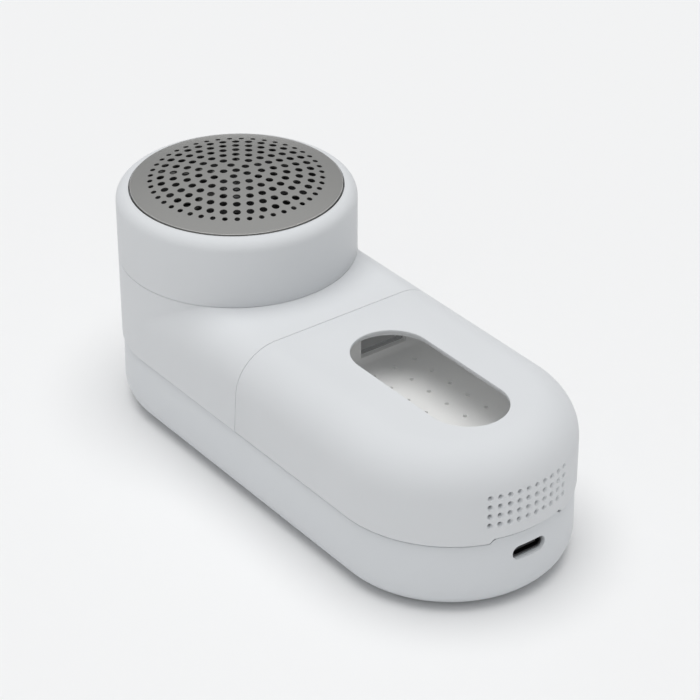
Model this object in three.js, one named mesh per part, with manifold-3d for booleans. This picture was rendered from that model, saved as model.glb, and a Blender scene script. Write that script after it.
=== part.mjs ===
// A cordless fabric shaver: a low body with a round cutting head at one end and a pull-off lint bin
// at the other.
// Millimetres, +Z up, +X from the cutting head to the charging port.
// The origin is on the resting face, under the middle of the body.
import * as THREE from "three";
import { mergeVertices } from "three/addons/utils/BufferGeometryUtils.js";
import Module from "manifold-3d";

const wasm = await Module();
wasm.setup();

// ---------------------------------------------------------------- driving dimensions

// Outside
const BODY_RADIUS = 30; // half width of the body, and the radius of both its ends
const END_SPACING = 84.4; // from the axis of the head to the axis of the tail
const SEAM_Z = 18.85; // the level line between the base and the upper body
const BODY_TOP = 41.4; // top of the neck and of the bin cover
const SHOULDER_RADIUS = 11; // round edge along the top of the body
const BASE_STEP = 0.5; // the base stands in from the upper body by this much
const BASE_FILLET = 8; // round edge under the base
const BIN_SEAM_OFFSET = 40.3; // from the head's axis to the bin seam, at the level seam
const BIN_SEAM_LEAN = 5; // degrees that the bin seam leans towards the tail
const RING_HEIGHT = 17.7; // height of the white guard ring
const RING_FILLET = 3;
const RING_RIM = 3.3; // width of the guard ring's top, outside the foil
const FOIL_PROUD = 0.55; // the foil's rim stands above the guard ring by this much
const FOIL_RISE = 3.25; // rise of the foil's dome, from rim to middle
const WINDOW_WIDTH = 19.9;
const WINDOW_FRONT = 12.5; // from the bin seam to the window
const WINDOW_REAR = 13.9; // from the window to the end of the tail

// Walls and clearances
const WALL = 2;
const BASE_WALL = 2.2;
const SEAM_GAP = 0.3; // between shells that meet
const GAP = 0.3; // between pieces that touch or slide on each other
const FIT_GAP = 0.4; // around what is dropped into its place

// Foil holes: rows of round holes about the middle
const FOIL_THICKNESS = 0.5;
const HOLE_ROW_PITCH = 3.1;
const HOLE_RADIUS = 0.96;
const EDGE_HOLE_RADIUS = 0.68;
const HOLE_ROWS = [1, 5, 12, 18, 24, 30, 36]; // holes in each row, from the middle outwards
const EDGE_HOLES = 45; // the outermost row, of smaller holes
const HOLE_SIDES = 4;

// Vents in the tail of the bin cover, and dots in the bin's floor
const VENT_COLUMNS = 10;
const VENT_ROWS = 4;
const VENT_PITCH = 2.45;
const VENT_RADIUS = 0.5;
const VENT_DROP = 10; // from the top of the body to the upper row
const DOT_PITCH_X = 6.9;
const DOT_PITCH_Y = 6.5;
const DOT_RADIUS = 0.55;

// Finger notch and charging port in the tail
const NOTCH_RISE = 1.35;
const NOTCH_HALF_ANGLE = 21; // degrees each side of the tail's middle
const PORT_DROP = 4.55; // from the seam down to the middle of the port
const PORT_WIDTH = 9.4;
const PORT_HEIGHT = 3.4;

// Cutting head
const MOTOR_RADIUS = 12;
const MOTOR_LENGTH = 29.7;
const SHAFT_RADIUS = 1;
const WELL_WALL = 1.8;
const WELL_FLOOR_RISE = 2.6; // from the top of the body to the underside of the well's floor
const BLADES = 5;
const BLADE_THICKNESS = 0.9;
const BLADE_GAP = 0.3; // from the blades to the foil
const FLOAT_TRAVEL = 0.8; // how far the cutter can be pressed down on its spring

// Electrics
const BATTERY_LENGTH = 50;
const BOARD_THICKNESS = 1.4;
const SWITCH_TRAVEL = 4;
const KNOB_LENGTH = 6;
const KNOB_WIDTH = 5.6;
const KNOB_RECESS = 0.4; // the knob lies above the resting face by this much

// Fasteners
const SCREW_RADIUS = 1.1;
const HEAD_RADIUS = 2.5;
const HEAD_HEIGHT = 1.4;
const BOSS_RADIUS = 3.3;

// ---------------------------------------------------------------- places worked out from them

const HEAD_X = -END_SPACING / 2;
const TAIL_X = END_SPACING / 2;
const LEAN = Math.tan(THREE.MathUtils.degToRad(BIN_SEAM_LEAN));
const SEAM_X = HEAD_X + BIN_SEAM_OFFSET;
const UPPER_LOW = SEAM_Z + SEAM_GAP / 2;
const BASE_TOP = SEAM_Z - SEAM_GAP / 2;
const BASE_RADIUS = BODY_RADIUS - BASE_STEP;
const BASE_INNER = BASE_RADIUS - BASE_WALL;

const DECK_TOP = BASE_TOP - 0.2;
const DECK_LOW = DECK_TOP - 1.6;
const TRAY_LOW = BASE_TOP + NOTCH_RISE + 0.75;
const TRAY_FLOOR = BODY_TOP - 13.5;
const TRAY_TOP = BODY_TOP - WALL - 3;
const TRAY_RADIUS = BODY_RADIUS - WALL - 3.5;
const TRAY_WALL = 1.5;
const TRAY_FRONT = SEAM_X + LEAN * (TRAY_TOP - SEAM_Z) + 1.8;
const TRAY_UNDER = TRAY_FLOOR - TRAY_WALL;
const DUCT_HALF = TRAY_RADIUS - 4.5;
const DUCT_WALL = 1.2;
const INLET_POST = 4.4; // half width of the post in the middle of the bin's inlet

const WINDOW_X0 = SEAM_X + WINDOW_FRONT;
const WINDOW_X1 = TAIL_X + BODY_RADIUS - WINDOW_REAR;
const WINDOW_THICKNESS = 1.1;

const RING_LOW = BODY_TOP + SEAM_GAP;
const RING_TOP = RING_LOW + RING_HEIGHT;
const FOIL_RADIUS = BODY_RADIUS - RING_RIM - GAP;
const FOIL_RIM_Z = RING_TOP + FOIL_PROUD;
const DOME_RADIUS = (FOIL_RADIUS ** 2 + FOIL_RISE ** 2) / (2 * FOIL_RISE);
const SKIRT_LOW = RING_TOP - 2.5;
const COLLAR_RADIUS = FOIL_RADIUS - 0.8;
const WELL_RADIUS = COLLAR_RADIUS - WELL_WALL;
const WELL_TOP = SKIRT_LOW - 1.4;
const FLOOR_LOW = BODY_TOP + WELL_FLOOR_RISE;
const FLOOR_TOP = FLOOR_LOW + WELL_WALL;

const MOTOR_TOP = FLOOR_LOW - GAP;
const MOTOR_LOW = MOTOR_TOP - MOTOR_LENGTH;
const CAP_LOW = MOTOR_LOW - 4.5;
const MOTOR_SCREW_Y = 8;
const BRUSH_Z = MOTOR_LOW + 1.4;
const BLADE_REACH = WELL_RADIUS - 1.4;
const CARRIER_TOP = FOIL_RIM_Z - 3.9;
const CARRIER_LOW = CARRIER_TOP - 5.6;
const HUB_RADIUS = 2.8;
const CARRIER_BORE = HUB_RADIUS + GAP;
const CRADLE_RADIUS = MOTOR_RADIUS + 0.6;
const HOUSING_SCREW_CIRCLE = MOTOR_RADIUS + 2.2 + BOSS_RADIUS;
const CHUTE_INNER = MOTOR_RADIUS + 1.6;

// The switch under the guard ring, and the pin that the ring presses
const PIN_RADIUS = 0.8;
const PIN_CIRCLE = COLLAR_RADIUS + PIN_RADIUS + 0.35;
const INTERLOCK_LOW = UPPER_LOW + 9;
const INTERLOCK_TOP = INTERLOCK_LOW + 6;
const PIN_FOOT = INTERLOCK_TOP + 1.2;

const PORT_Z = SEAM_Z - PORT_DROP;
const SOCKET_HEIGHT = PORT_HEIGHT - 0.2;
const BOARD_TOP = PORT_Z - SOCKET_HEIGHT / 2 - GAP;
const BOARD_LOW = BOARD_TOP - BOARD_THICKNESS;
const DECK_BOSS_Y = BASE_INNER - BOSS_RADIUS - 1.5;
const RAIL_HALF = 0.8; // half the thickness of each rail that guides the bin
const RAIL_Y = DECK_BOSS_Y - HEAD_RADIUS - 2.4;
const RAIL_TOP = TRAY_LOW + 1.4;
const BATTERY_X = HEAD_X + CRADLE_RADIUS + 4.2;
const BATTERY_END = BATTERY_X + BATTERY_LENGTH;
const BATTERY_LOW = BASE_WALL + FIT_GAP;
const BATTERY_TOP = BOARD_LOW - FIT_GAP;
const BATTERY_HALF = DECK_BOSS_Y - BOSS_RADIUS - 2.2;
const BOARD_HALF = BATTERY_HALF - 1;
const LAMP_X = TAIL_X + BOARD_HALF - 2.6; // the charge lamp stands near the end of the board
const SWITCH_X = BATTERY_END + 7;

// ---------------------------------------------------------------- solids

const ROUND_SIDES = 32; // sides of the large round pieces

// A closed geometry as a solid that can be joined and cut.
function solid(geometry) {
  geometry.deleteAttribute("normal");
  geometry.deleteAttribute("uv");
  const merged = mergeVertices(geometry, 1e-4);
  const corners = [];
  for (let i = 0; i < merged.index.count; i += 3) {
    const [a, b, c] = [0, 1, 2].map((k) => merged.index.getX(i + k));
    if (a !== b && b !== c && c !== a) corners.push(a, b, c);
  }
  const vertProperties = merged.attributes.position.array;
  const triVerts = new Uint32Array(corners);
  return new wasm.Manifold(new wasm.Mesh({ numProp: 3, vertProperties, triVerts }));
}

function box(x0, x1, y0, y1, z0, z1) {
  const geometry = new THREE.BoxGeometry(x1 - x0, y1 - y0, z1 - z0);
  return solid(geometry.translate((x0 + x1) / 2, (y0 + y1) / 2, (z0 + z1) / 2));
}

function cylinder(x, y, radius, z0, z1, sides = 16) {
  const geometry = new THREE.CylinderGeometry(radius, radius, z1 - z0, sides);
  return solid(geometry.rotateX(Math.PI / 2).translate(x, y, (z0 + z1) / 2));
}

// A solid of revolution about the Z axis, from a closed profile of [radius, height] points.
function revolve(profile, sides = ROUND_SIDES) {
  const next = (i) => profile[(i + 1) % profile.length];
  const turn = profile.reduce((sum, [r, z], i) => sum + r * next(i)[1] - next(i)[0] * z, 0);
  const ordered = turn > 0 ? profile : [...profile].reverse();
  const points = [...ordered, ordered[0]].map(([r, z]) => new THREE.Vector2(r, z));
  return solid(new THREE.LatheGeometry(points, sides).rotateX(Math.PI / 2));
}

function tube(inner, outer, z0, z1, sides = 24) {
  return revolve([[inner, z0], [outer, z0], [outer, z1], [inner, z1]], sides);
}

// A level outline pushed up from z0 to z1.
function prism(shape, z0, z1, curveSegments = 12) {
  const options = { depth: z1 - z0, bevelEnabled: false, curveSegments };
  return solid(new THREE.ExtrudeGeometry(shape, options).translate(0, 0, z0));
}

const polygon = (points) => new THREE.Shape(points.map(([x, y]) => new THREE.Vector2(x, y)));

// An upright outline in x and z, pushed across from y0 to y1.
function slab(shape, y0, y1, curveSegments = 6) {
  const options = { depth: y1 - y0, bevelEnabled: false, curveSegments };
  return solid(new THREE.ExtrudeGeometry(shape, options).rotateX(Math.PI / 2).translate(0, y1, 0));
}

// A round wire or spring along a path.
function wire(points, radius, steps, sides = 6) {
  const path = new THREE.CatmullRomCurve3(points.map((p) => new THREE.Vector3(...p)));
  const section = new THREE.Shape();
  for (let i = 0; i < sides; i++) {
    const angle = (2 * Math.PI * i) / sides;
    section[i ? "lineTo" : "moveTo"](radius * Math.cos(angle), radius * Math.sin(angle));
  }
  return solid(new THREE.ExtrudeGeometry(section, { steps, bevelEnabled: false, extrudePath: path }));
}

function coil(radius, wireRadius, z0, z1, turns, stepsPerTurn = 9) {
  const points = [];
  const steps = turns * stepsPerTurn;
  for (let i = 0; i <= steps; i++) {
    const angle = (2 * Math.PI * i) / stepsPerTurn;
    const z = z0 + wireRadius + ((z1 - z0 - 2 * wireRadius) * i) / steps;
    points.push([radius * Math.cos(angle), radius * Math.sin(angle), z]);
  }
  return wire(points, wireRadius, steps, 4);
}

// A plan outline with two straight sides and two round ends.
function stadium(x0, x1, radius) {
  const shape = new THREE.Shape();
  shape.absarc(x1 - radius, 0, radius, -Math.PI / 2, Math.PI / 2);
  shape.absarc(x0 + radius, 0, radius, Math.PI / 2, (3 * Math.PI) / 2);
  return shape;
}

// The same outline as points, round the head and tail axes, for lofting.
function bodyOutline(radius, segments = ROUND_SIDES / 2) {
  const points = [];
  for (const [x, start] of [[TAIL_X, -Math.PI / 2], [HEAD_X, Math.PI / 2]])
    for (let i = 0; i <= segments; i++) {
      const angle = start + (Math.PI * i) / segments;
      points.push([x + radius * Math.cos(angle), radius * Math.sin(angle)]);
    }
  return points;
}

// A solid through level outlines of the same number of points, the lowest first.
function loft(levels) {
  const count = levels[0].points.length;
  const positions = levels.flatMap(({ z, points }) => points.flatMap(([x, y]) => [x, y, z]));
  const index = [];
  for (let level = 0; level + 1 < levels.length; level++)
    for (let i = 0; i < count; i++) {
      const a = level * count + i;
      const b = level * count + ((i + 1) % count);
      index.push(a, b, b + count, a, b + count, a + count);
    }
  const top = (levels.length - 1) * count;
  for (let i = 1; i + 1 < count; i++) index.push(0, i + 1, i, top, top + i, top + i + 1);
  const geometry = new THREE.BufferGeometry();
  geometry.setAttribute("position", new THREE.Float32BufferAttribute(positions, 3));
  return solid(geometry.setIndex(index));
}

// The plan of the body with a round edge at its top (side 1) or at its bottom (side -1).
function roundedBody(radius, flatEnd, roundEnd, fillet, side, steps = 4) {
  const levels = [{ z: flatEnd, points: bodyOutline(radius) }];
  for (let i = 0; i <= steps; i++) {
    const angle = (Math.PI * i) / (2 * steps);
    const z = roundEnd - side * fillet * (1 - Math.sin(angle));
    levels.push({ z, points: bodyOutline(radius - fillet * (1 - Math.cos(angle))) });
  }
  return loft(side > 0 ? levels : levels.reverse());
}

const upperBody = (inset, low = UPPER_LOW) =>
  roundedBody(BODY_RADIUS - inset, low, BODY_TOP - inset, SHOULDER_RADIUS - inset, 1);

// Everything on the tail side of the leaning bin seam, moved towards the tail by an offset.
function beyondSeam(offset) {
  const reach = END_SPACING + 2 * BODY_RADIUS;
  const at = (z) => SEAM_X + offset + LEAN * (z - SEAM_Z);
  const outline = polygon([[at(-1), -1], [reach, -1], [reach, RING_TOP], [at(RING_TOP), RING_TOP]]);
  return slab(outline, -reach, reach);
}

const atAngle = (degrees) => THREE.MathUtils.degToRad(degrees);

function polar(radius, degrees, x = 0) {
  return [x + radius * Math.cos(atAngle(degrees)), radius * Math.sin(atAngle(degrees))];
}

const joined = (solids) => solids.reduce((all, one) => all.add(one));

// ---------------------------------------------------------------- materials and naming

const finish = (color, roughness, metalness = 0, extra = {}) =>
  new THREE.MeshStandardMaterial({ color, roughness, metalness, ...extra });

const FINISHES = {
  shell: finish(0xe4e6e8, 0.45),
  base: finish(0xdde1e6, 0.45),
  inner: finish(0xd2d4d3, 0.6),
  clear: finish(0xe8efef, 0.08, 0, { transparent: true, opacity: 0.3 }),
  foil: finish(0xb9b8b4, 0.3, 1),
  steel: finish(0xa5a6a8, 0.35, 1),
  zinc: finish(0xbfc2c4, 0.4, 0.9),
  dark: finish(0x2b2d30, 0.6),
  brass: finish(0xb39245, 0.4, 0.9),
  copper: finish(0xb0643a, 0.4, 0.9),
  rubber: finish(0x44474a, 0.9),
  cell: finish(0x9fb4c8, 0.5, 0.3),
  board: finish(0x1f5a3a, 0.55),
  red: finish(0xb5302a, 0.6),
  black: finish(0x1c1c1e, 0.6),
  lamp: finish(0xf3f3ea, 0.3),
};

const shaver = new THREE.Group();
const head = new THREE.Group(); // stands on the axis of the motor and the cutter
head.position.x = HEAD_X;
shaver.add(head);

function piece(group, name, made, material) {
  const { vertProperties, triVerts } = made.getMesh();
  const geometry = new THREE.BufferGeometry();
  geometry.setAttribute("position", new THREE.BufferAttribute(vertProperties, 3));
  geometry.setIndex(new THREE.BufferAttribute(triVerts, 1));
  geometry.computeVertexNormals();
  const mesh = new THREE.Mesh(geometry, FINISHES[material]);
  mesh.name = name;
  group.add(mesh);
}

// ---------------------------------------------------------------- base

const housingScrewAngles = [60, 130, 230, 300];
const deckScrewPlaces = [HEAD_X + 23, TAIL_X - 28].flatMap((x) => [[x, DECK_BOSS_Y], [x, -DECK_BOSS_Y]]);

function portOutline(inset) {
  const radius = PORT_HEIGHT / 2 - inset;
  const half = PORT_WIDTH / 2 - PORT_HEIGHT / 2;
  const shape = new THREE.Shape();
  shape.absarc(half, 0, radius, -Math.PI / 2, Math.PI / 2);
  shape.absarc(-half, 0, radius, Math.PI / 2, (3 * Math.PI) / 2);
  return shape;
}

// The port's outline pushed along +X, from x0 to x1.
function portPlug(inset, x0, x1) {
  const options = { depth: x1 - x0, bevelEnabled: false, curveSegments: 5 };
  const geometry = new THREE.ExtrudeGeometry(portOutline(inset), options);
  return solid(geometry.rotateZ(Math.PI / 2).rotateY(Math.PI / 2).translate(x0, 0, PORT_Z));
}

// A wedge-shaped block over the tail, as wide as the finger notch.
function notchWedge(halfAngle, z0, z1, inner = 0) {
  const shape = new THREE.Shape();
  const reach = BODY_RADIUS + 4;
  shape.moveTo(...polar(inner, -halfAngle, TAIL_X));
  shape.lineTo(...polar(reach, -halfAngle, TAIL_X));
  shape.lineTo(TAIL_X + reach + 4, 0);
  shape.lineTo(...polar(reach, halfAngle, TAIL_X));
  shape.lineTo(...polar(inner, halfAngle, TAIL_X));
  return prism(shape, z0, z1);
}

function baseShell() {
  const outer = roundedBody(BASE_RADIUS, BASE_TOP, 0, BASE_FILLET, -1);
  const hollow = roundedBody(BASE_INNER, BASE_TOP + 1, BASE_WALL, BASE_FILLET - BASE_WALL, -1);
  const lip = upperBody(BASE_STEP, BASE_TOP - 1).intersect(
    notchWedge(NOTCH_HALF_ANGLE - 1, BASE_TOP - 1, BASE_TOP + NOTCH_RISE, BASE_INNER),
  );
  const lipHollow = cylinder(TAIL_X, 0, BASE_INNER, BASE_TOP - 2, BASE_TOP + 3, 28);
  let shell = outer.subtract(hollow).add(lip.subtract(lipHollow));
  const floor = BASE_WALL - 0.5;
  const cradle = cylinder(HEAD_X, 0, CRADLE_RADIUS + 1.8, floor, MOTOR_LOW + 2.6, 24);
  const seat = cylinder(HEAD_X, 0, CRADLE_RADIUS, floor + 0.5, BASE_TOP, 24);
  const wireNotch = box(HEAD_X, HEAD_X + CRADLE_RADIUS + 6, -6, 6, BATTERY_TOP - 3, BASE_TOP);
  shell = shell.add(cradle).subtract(seat).subtract(wireNotch);
  const rim = 1.2;
  const [x0, x1] = [BATTERY_X - GAP, BATTERY_END + GAP];
  const room = BATTERY_HALF + GAP;
  const tub = box(x0 - rim, x1 + rim, -room - rim, room + rim, floor, BATTERY_LOW + 3);
  shell = shell.add(tub.subtract(box(x0, x1, -room, room, floor + 0.5, BASE_TOP)));
  for (const degrees of housingScrewAngles) {
    const [x, y] = polar(HOUSING_SCREW_CIRCLE, degrees, HEAD_X);
    shell = shell.add(cylinder(x, y, BOSS_RADIUS + 0.4, floor, DECK_LOW, 12));
    shell = shell.subtract(cylinder(x, y, SCREW_RADIUS + GAP, -1, BASE_TOP, 8));
    shell = shell.subtract(cylinder(x, y, HEAD_RADIUS + GAP, -1, 6, 12));
  }
  for (const [x, y] of deckScrewPlaces) {
    shell = shell.add(cylinder(x, y, BOSS_RADIUS, floor, DECK_LOW - GAP, 12));
    shell = shell.subtract(cylinder(x, y, SCREW_RADIUS + GAP, floor + 2, BASE_TOP, 8));
  }
  for (const side of [-1, 1])
    shell = shell.add(cylinder(TAIL_X, side * (BATTERY_HALF - 4), 2, floor, BOARD_LOW - GAP, 8));
  const slot = KNOB_LENGTH + SWITCH_TRAVEL + 2 * GAP;
  const slotHalf = KNOB_WIDTH / 2 + GAP;
  shell = shell.subtract(
    box(SWITCH_X - GAP, SWITCH_X - GAP + slot, -slotHalf, slotHalf, -1, BASE_WALL + 1),
  );
  return shell.subtract(portPlug(0, TAIL_X, TAIL_X + BODY_RADIUS + 1));
}

function deckPlate() {
  const radius = BASE_INNER - FIT_GAP;
  const start = HEAD_X + CRADLE_RADIUS + 3;
  let plate = prism(stadium(start - radius, TAIL_X + radius, radius), DECK_LOW, DECK_TOP, 14);
  plate = plate.intersect(box(start, TAIL_X + radius, -radius, radius, DECK_LOW - 1, DECK_TOP + 1));
  for (const side of [-1, 1]) {
    const [y0, y1] = [side * RAIL_Y - RAIL_HALF, side * RAIL_Y + RAIL_HALF];
    plate = plate.add(box(SEAM_X + 8, TAIL_X, y0, y1, DECK_TOP - 0.4, RAIL_TOP));
  }
  for (const [x, y] of deckScrewPlaces)
    plate = plate.subtract(cylinder(x, y, SCREW_RADIUS + GAP, DECK_LOW - 1, DECK_TOP + 1, 12));
  return plate;
}

// A screw whose head's underside is at z and whose shank points up (1) or down (-1).
function screw(x, y, z, length, side) {
  const tip = z + side * length;
  const shank = cylinder(x, y, SCREW_RADIUS, Math.min(z, tip), Math.max(z, tip), 8);
  const head0 = side > 0 ? z - HEAD_HEIGHT : z;
  const cross = box(x - 1.5, x + 1.5, y - 0.3, y + 0.3, -0.4, 0.4).add(
    box(x - 0.3, x + 0.3, y - 1.5, y + 1.5, -0.4, 0.4),
  );
  const cap = cylinder(x, y, HEAD_RADIUS - 0.1, head0, head0 + HEAD_HEIGHT, 10);
  return shank.add(cap).subtract(cross.translate([0, 0, side > 0 ? head0 : head0 + HEAD_HEIGHT]));
}

piece(shaver, "base_shell", baseShell(), "base");
piece(shaver, "deck_plate", deckPlate(), "inner");
deckScrewPlaces.forEach(([x, y], i) =>
  piece(shaver, "deck_screw_" + (i + 1), screw(x, y, DECK_TOP + GAP, 9, -1), "zinc"),
);
housingScrewAngles.forEach((degrees, i) => {
  const [x, y] = polar(HOUSING_SCREW_CIRCLE, degrees, HEAD_X);
  piece(shaver, "housing_screw_" + (i + 1), screw(x, y, 6 - GAP, BASE_TOP + 3, 1), "zinc");
});

// ---------------------------------------------------------------- electrics in the base

function board() {
  const end = TAIL_X + BASE_INNER;
  const half = BOARD_HALF;
  const body = box(BATTERY_END - 2.5, TAIL_X + half, -half, half, BOARD_LOW, BOARD_TOP);
  const tongue = box(TAIL_X, end - 1.4, -PORT_WIDTH / 2 - 1, PORT_WIDTH / 2 + 1, BOARD_LOW, BOARD_TOP);
  return body.add(tongue).intersect(cylinder(TAIL_X, 0, BASE_INNER - 0.5, 0, BASE_TOP, 28).add(
    box(HEAD_X, TAIL_X, -half, half, 0, BASE_TOP),
  ));
}

const socketMouth = TAIL_X + BASE_RADIUS - 0.9;
const socketDepth = 7.4;
const socketWall = 0.35;

function socketShell() {
  const outer = portPlug(0.35, socketMouth - socketDepth, socketMouth);
  return outer.subtract(portPlug(0.35 + socketWall, socketMouth - socketDepth + 1, socketMouth + 1));
}

function batteryCell() {
  const shape = new THREE.Shape();
  const bulge = (BATTERY_TOP - BATTERY_LOW) / 2;
  const middle = (BATTERY_TOP + BATTERY_LOW) / 2;
  shape.absarc(BATTERY_HALF - bulge, middle, bulge, -Math.PI / 2, Math.PI / 2);
  shape.absarc(-BATTERY_HALF + bulge, middle, bulge, Math.PI / 2, (3 * Math.PI) / 2);
  const options = { depth: BATTERY_LENGTH, bevelEnabled: false, curveSegments: 5 };
  const geometry = new THREE.ExtrudeGeometry(shape, options);
  return solid(geometry.rotateX(Math.PI / 2).rotateZ(Math.PI / 2).translate(BATTERY_X, 0, 0));
}

function switchKnob() {
  const half = KNOB_WIDTH / 2;
  const grip = box(SWITCH_X, SWITCH_X + KNOB_LENGTH, -half, half, KNOB_RECESS, BASE_WALL + 0.8);
  const cover = box(
    SWITCH_X - SWITCH_TRAVEL - 0.6, SWITCH_X + KNOB_LENGTH + SWITCH_TRAVEL + 0.6,
    -half - 1.6, half + 1.6, BASE_WALL + GAP, BASE_WALL + 1.4,
  );
  const middle = SWITCH_X + KNOB_LENGTH / 2;
  const stem = box(middle - 1.5, middle + 1.5, -1, 1, BASE_WALL + 1, BASE_WALL + 2.4);
  let knob = grip.add(cover).add(stem);
  for (const step of [-1.6, 0, 1.6]) {
    const x = middle + step;
    knob = knob.subtract(box(x - 0.3, x + 0.3, -KNOB_WIDTH, KNOB_WIDTH, 0, KNOB_RECESS + 0.4));
  }
  return knob;
}

const switchMiddle = SWITCH_X + KNOB_LENGTH / 2 + SWITCH_TRAVEL / 2;
piece(shaver, "battery_cell", batteryCell(), "cell");
piece(shaver, "circuit_board", board(), "board");
piece(
  shaver,
  "charge_chip",
  box(TAIL_X - 3, TAIL_X + 3, -3, 3, BOARD_TOP + 0.05, BOARD_TOP + 1.2),
  "dark",
);
piece(
  shaver,
  "charge_lamp",
  box(LAMP_X, LAMP_X + 2, 7.4, 9, BOARD_TOP + 0.05, BOARD_TOP + 1.1),
  "lamp",
);
piece(shaver, "usb_socket", socketShell(), "steel");
piece(
  shaver,
  "usb_tongue",
  box(socketMouth - socketDepth + 1.1, socketMouth - 0.7, -3.1, 3.1, PORT_Z - 0.35, PORT_Z + 0.35),
  "black",
);
piece(
  shaver,
  "slide_switch_body",
  box(switchMiddle - 5.5, switchMiddle + 5.5, -2.6, 2.6, BASE_WALL + 2.4 + GAP, BOARD_LOW - 0.05),
  "dark",
);
piece(shaver, "slide_switch_knob", switchKnob(), "inner");

// ---------------------------------------------------------------- neck

function ductOutline(inset) {
  const low = TRAY_UNDER + inset;
  const high = BODY_TOP - WALL - 0.7 - inset;
  const back = HEAD_X + CHUTE_INNER + inset;
  const drop = HEAD_X + WELL_RADIUS - 0.4 - inset;
  const reach = TRAY_FRONT + 5;
  const bend = 7;
  const shape = new THREE.Shape();
  shape.moveTo(reach, low);
  shape.lineTo(reach, high);
  shape.lineTo(drop, high);
  shape.lineTo(drop, FLOOR_LOW - GAP + (inset ? 5 : 0));
  shape.lineTo(back, FLOOR_LOW - GAP + (inset ? 5 : 0));
  shape.lineTo(back, low + bend);
  shape.absarc(back + bend, low + bend, bend, Math.PI, (3 * Math.PI) / 2);
  shape.closePath();
  return shape;
}

// The duct's outside (inset 0) or its bore; its mouth under the well follows the well's round wall
function ductSolid(inset) {
  const collarLow = BODY_TOP - 2.4 - inset;
  const collar = tube(WELL_RADIUS - FIT_GAP - inset, 2 * BODY_RADIUS, collarLow, RING_TOP, ROUND_SIDES);
  const half = DUCT_HALF - inset;
  return slab(ductOutline(inset), -half, half).subtract(collar.translate([HEAD_X, 0, 0]));
}

const lintDuct = () => ductSolid(0).subtract(ductSolid(DUCT_WALL)).subtract(beyondSeam(-SEAM_GAP / 2));

function neckShell() {
  const inner = BODY_RADIUS - WALL;
  const column = cylinder(HEAD_X, 0, BODY_RADIUS, UPPER_LOW, BODY_TOP, ROUND_SIDES);
  const bore = cylinder(HEAD_X, 0, inner, UPPER_LOW - 1, BODY_TOP + 1, ROUND_SIDES);
  const outer = upperBody(0).add(column).subtract(beyondSeam(-SEAM_GAP / 2));
  const hollow = upperBody(WALL, UPPER_LOW - 1).subtract(beyondSeam(-SEAM_GAP / 2 - WALL));
  let shell = outer.subtract(hollow.add(bore));
  const ledgeTop = BODY_TOP - 2.2;
  let ledge = tube(inner - 2.6, inner + 0.5, ledgeTop - 1.8, ledgeTop, ROUND_SIDES).translate([HEAD_X, 0, 0]);
  ledge = ledge.subtract(box(HEAD_X + CHUTE_INNER - GAP, 0, -inner, inner, 0, BODY_TOP));
  shell = shell.add(ledge);
  for (const degrees of housingScrewAngles) {
    const [x, y] = polar(HOUSING_SCREW_CIRCLE, degrees, HEAD_X);
    const boss = cylinder(x, y, BOSS_RADIUS, UPPER_LOW, UPPER_LOW + 12, 12);
    const wall = Math.sign(y) * inner;
    const rib = box(x - 0.8, x + 0.8, Math.min(y, wall), Math.max(y, wall), UPPER_LOW, UPPER_LOW + 12);
    const pilot = cylinder(x, y, SCREW_RADIUS + GAP, UPPER_LOW - 1, UPPER_LOW + 11, 10);
    shell = shell.add(boss.add(rib.intersect(upperBody(WALL / 2))).subtract(pilot));
  }
  const shelfX = HEAD_X - inner;
  shell = shell.add(box(shelfX - 0.3, shelfX + 3.9, -3.8, 3.8, INTERLOCK_LOW - 1.6, INTERLOCK_LOW - GAP));
  shell = shell.subtract(cylinder(HEAD_X - PIN_CIRCLE, 0, PIN_RADIUS + 0.75, INTERLOCK_LOW, BODY_TOP, 10));
  const ductHole = slab(ductOutline(-GAP), -DUCT_HALF - GAP, DUCT_HALF + GAP);
  return shell.subtract(ductHole.intersect(beyondSeam(-WALL - 2)));
}

function ductGasket() {
  const low = TRAY_UNDER + 0.5;
  const high = BODY_TOP - WALL - 1.2;
  const block = box(HEAD_X, TRAY_FRONT - GAP, -DUCT_HALF + 0.4, DUCT_HALF - 0.4, low, high);
  const bore = box(HEAD_X, TRAY_FRONT + 1, -DUCT_HALF + 2, DUCT_HALF - 2, low + 1.6, high - 1.6);
  return block.subtract(bore).intersect(beyondSeam(SEAM_GAP / 2));
}

piece(shaver, "neck_shell", neckShell(), "shell");
piece(shaver, "lint_duct", lintDuct(), "inner");
piece(shaver, "duct_gasket", ductGasket(), "rubber");

// ---------------------------------------------------------------- cutting head, about its own axis

function cutterWell() {
  const flange = BODY_RADIUS - WALL - FIT_GAP;
  const flangeLow = BODY_TOP - 2.2 + GAP;
  const profile = [
    [SHAFT_RADIUS + 2.2, FLOOR_LOW], [WELL_RADIUS, FLOOR_LOW], [WELL_RADIUS, flangeLow], [flange, flangeLow],
    [flange, BODY_TOP - 0.2], [COLLAR_RADIUS, BODY_TOP - 0.2], [COLLAR_RADIUS, WELL_TOP],
    [WELL_RADIUS, WELL_TOP], [WELL_RADIUS, FLOOR_TOP], [SHAFT_RADIUS + 2.2, FLOOR_TOP],
  ];
  let well = revolve(profile);
  const chute = new THREE.Shape();
  const chuteRadius = WELL_RADIUS - 1.6;
  const chuteHalf = Math.acos((CHUTE_INNER + DUCT_WALL + 0.4) / chuteRadius);
  chute.absarc(0, 0, chuteRadius, -chuteHalf, chuteHalf);
  well = well.subtract(prism(chute, FLOOR_LOW - 1, FLOOR_TOP + 1, 8));
  for (const side of [-1, 1])
    well = well.subtract(
      cylinder(0, side * MOTOR_SCREW_Y, SCREW_RADIUS + GAP, FLOOR_LOW - 1, FLOOR_TOP + 1, 10),
    );
  return well.subtract(cylinder(-PIN_CIRCLE, 0, PIN_RADIUS + GAP, flangeLow - 1, BODY_TOP, 10));
}

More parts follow.
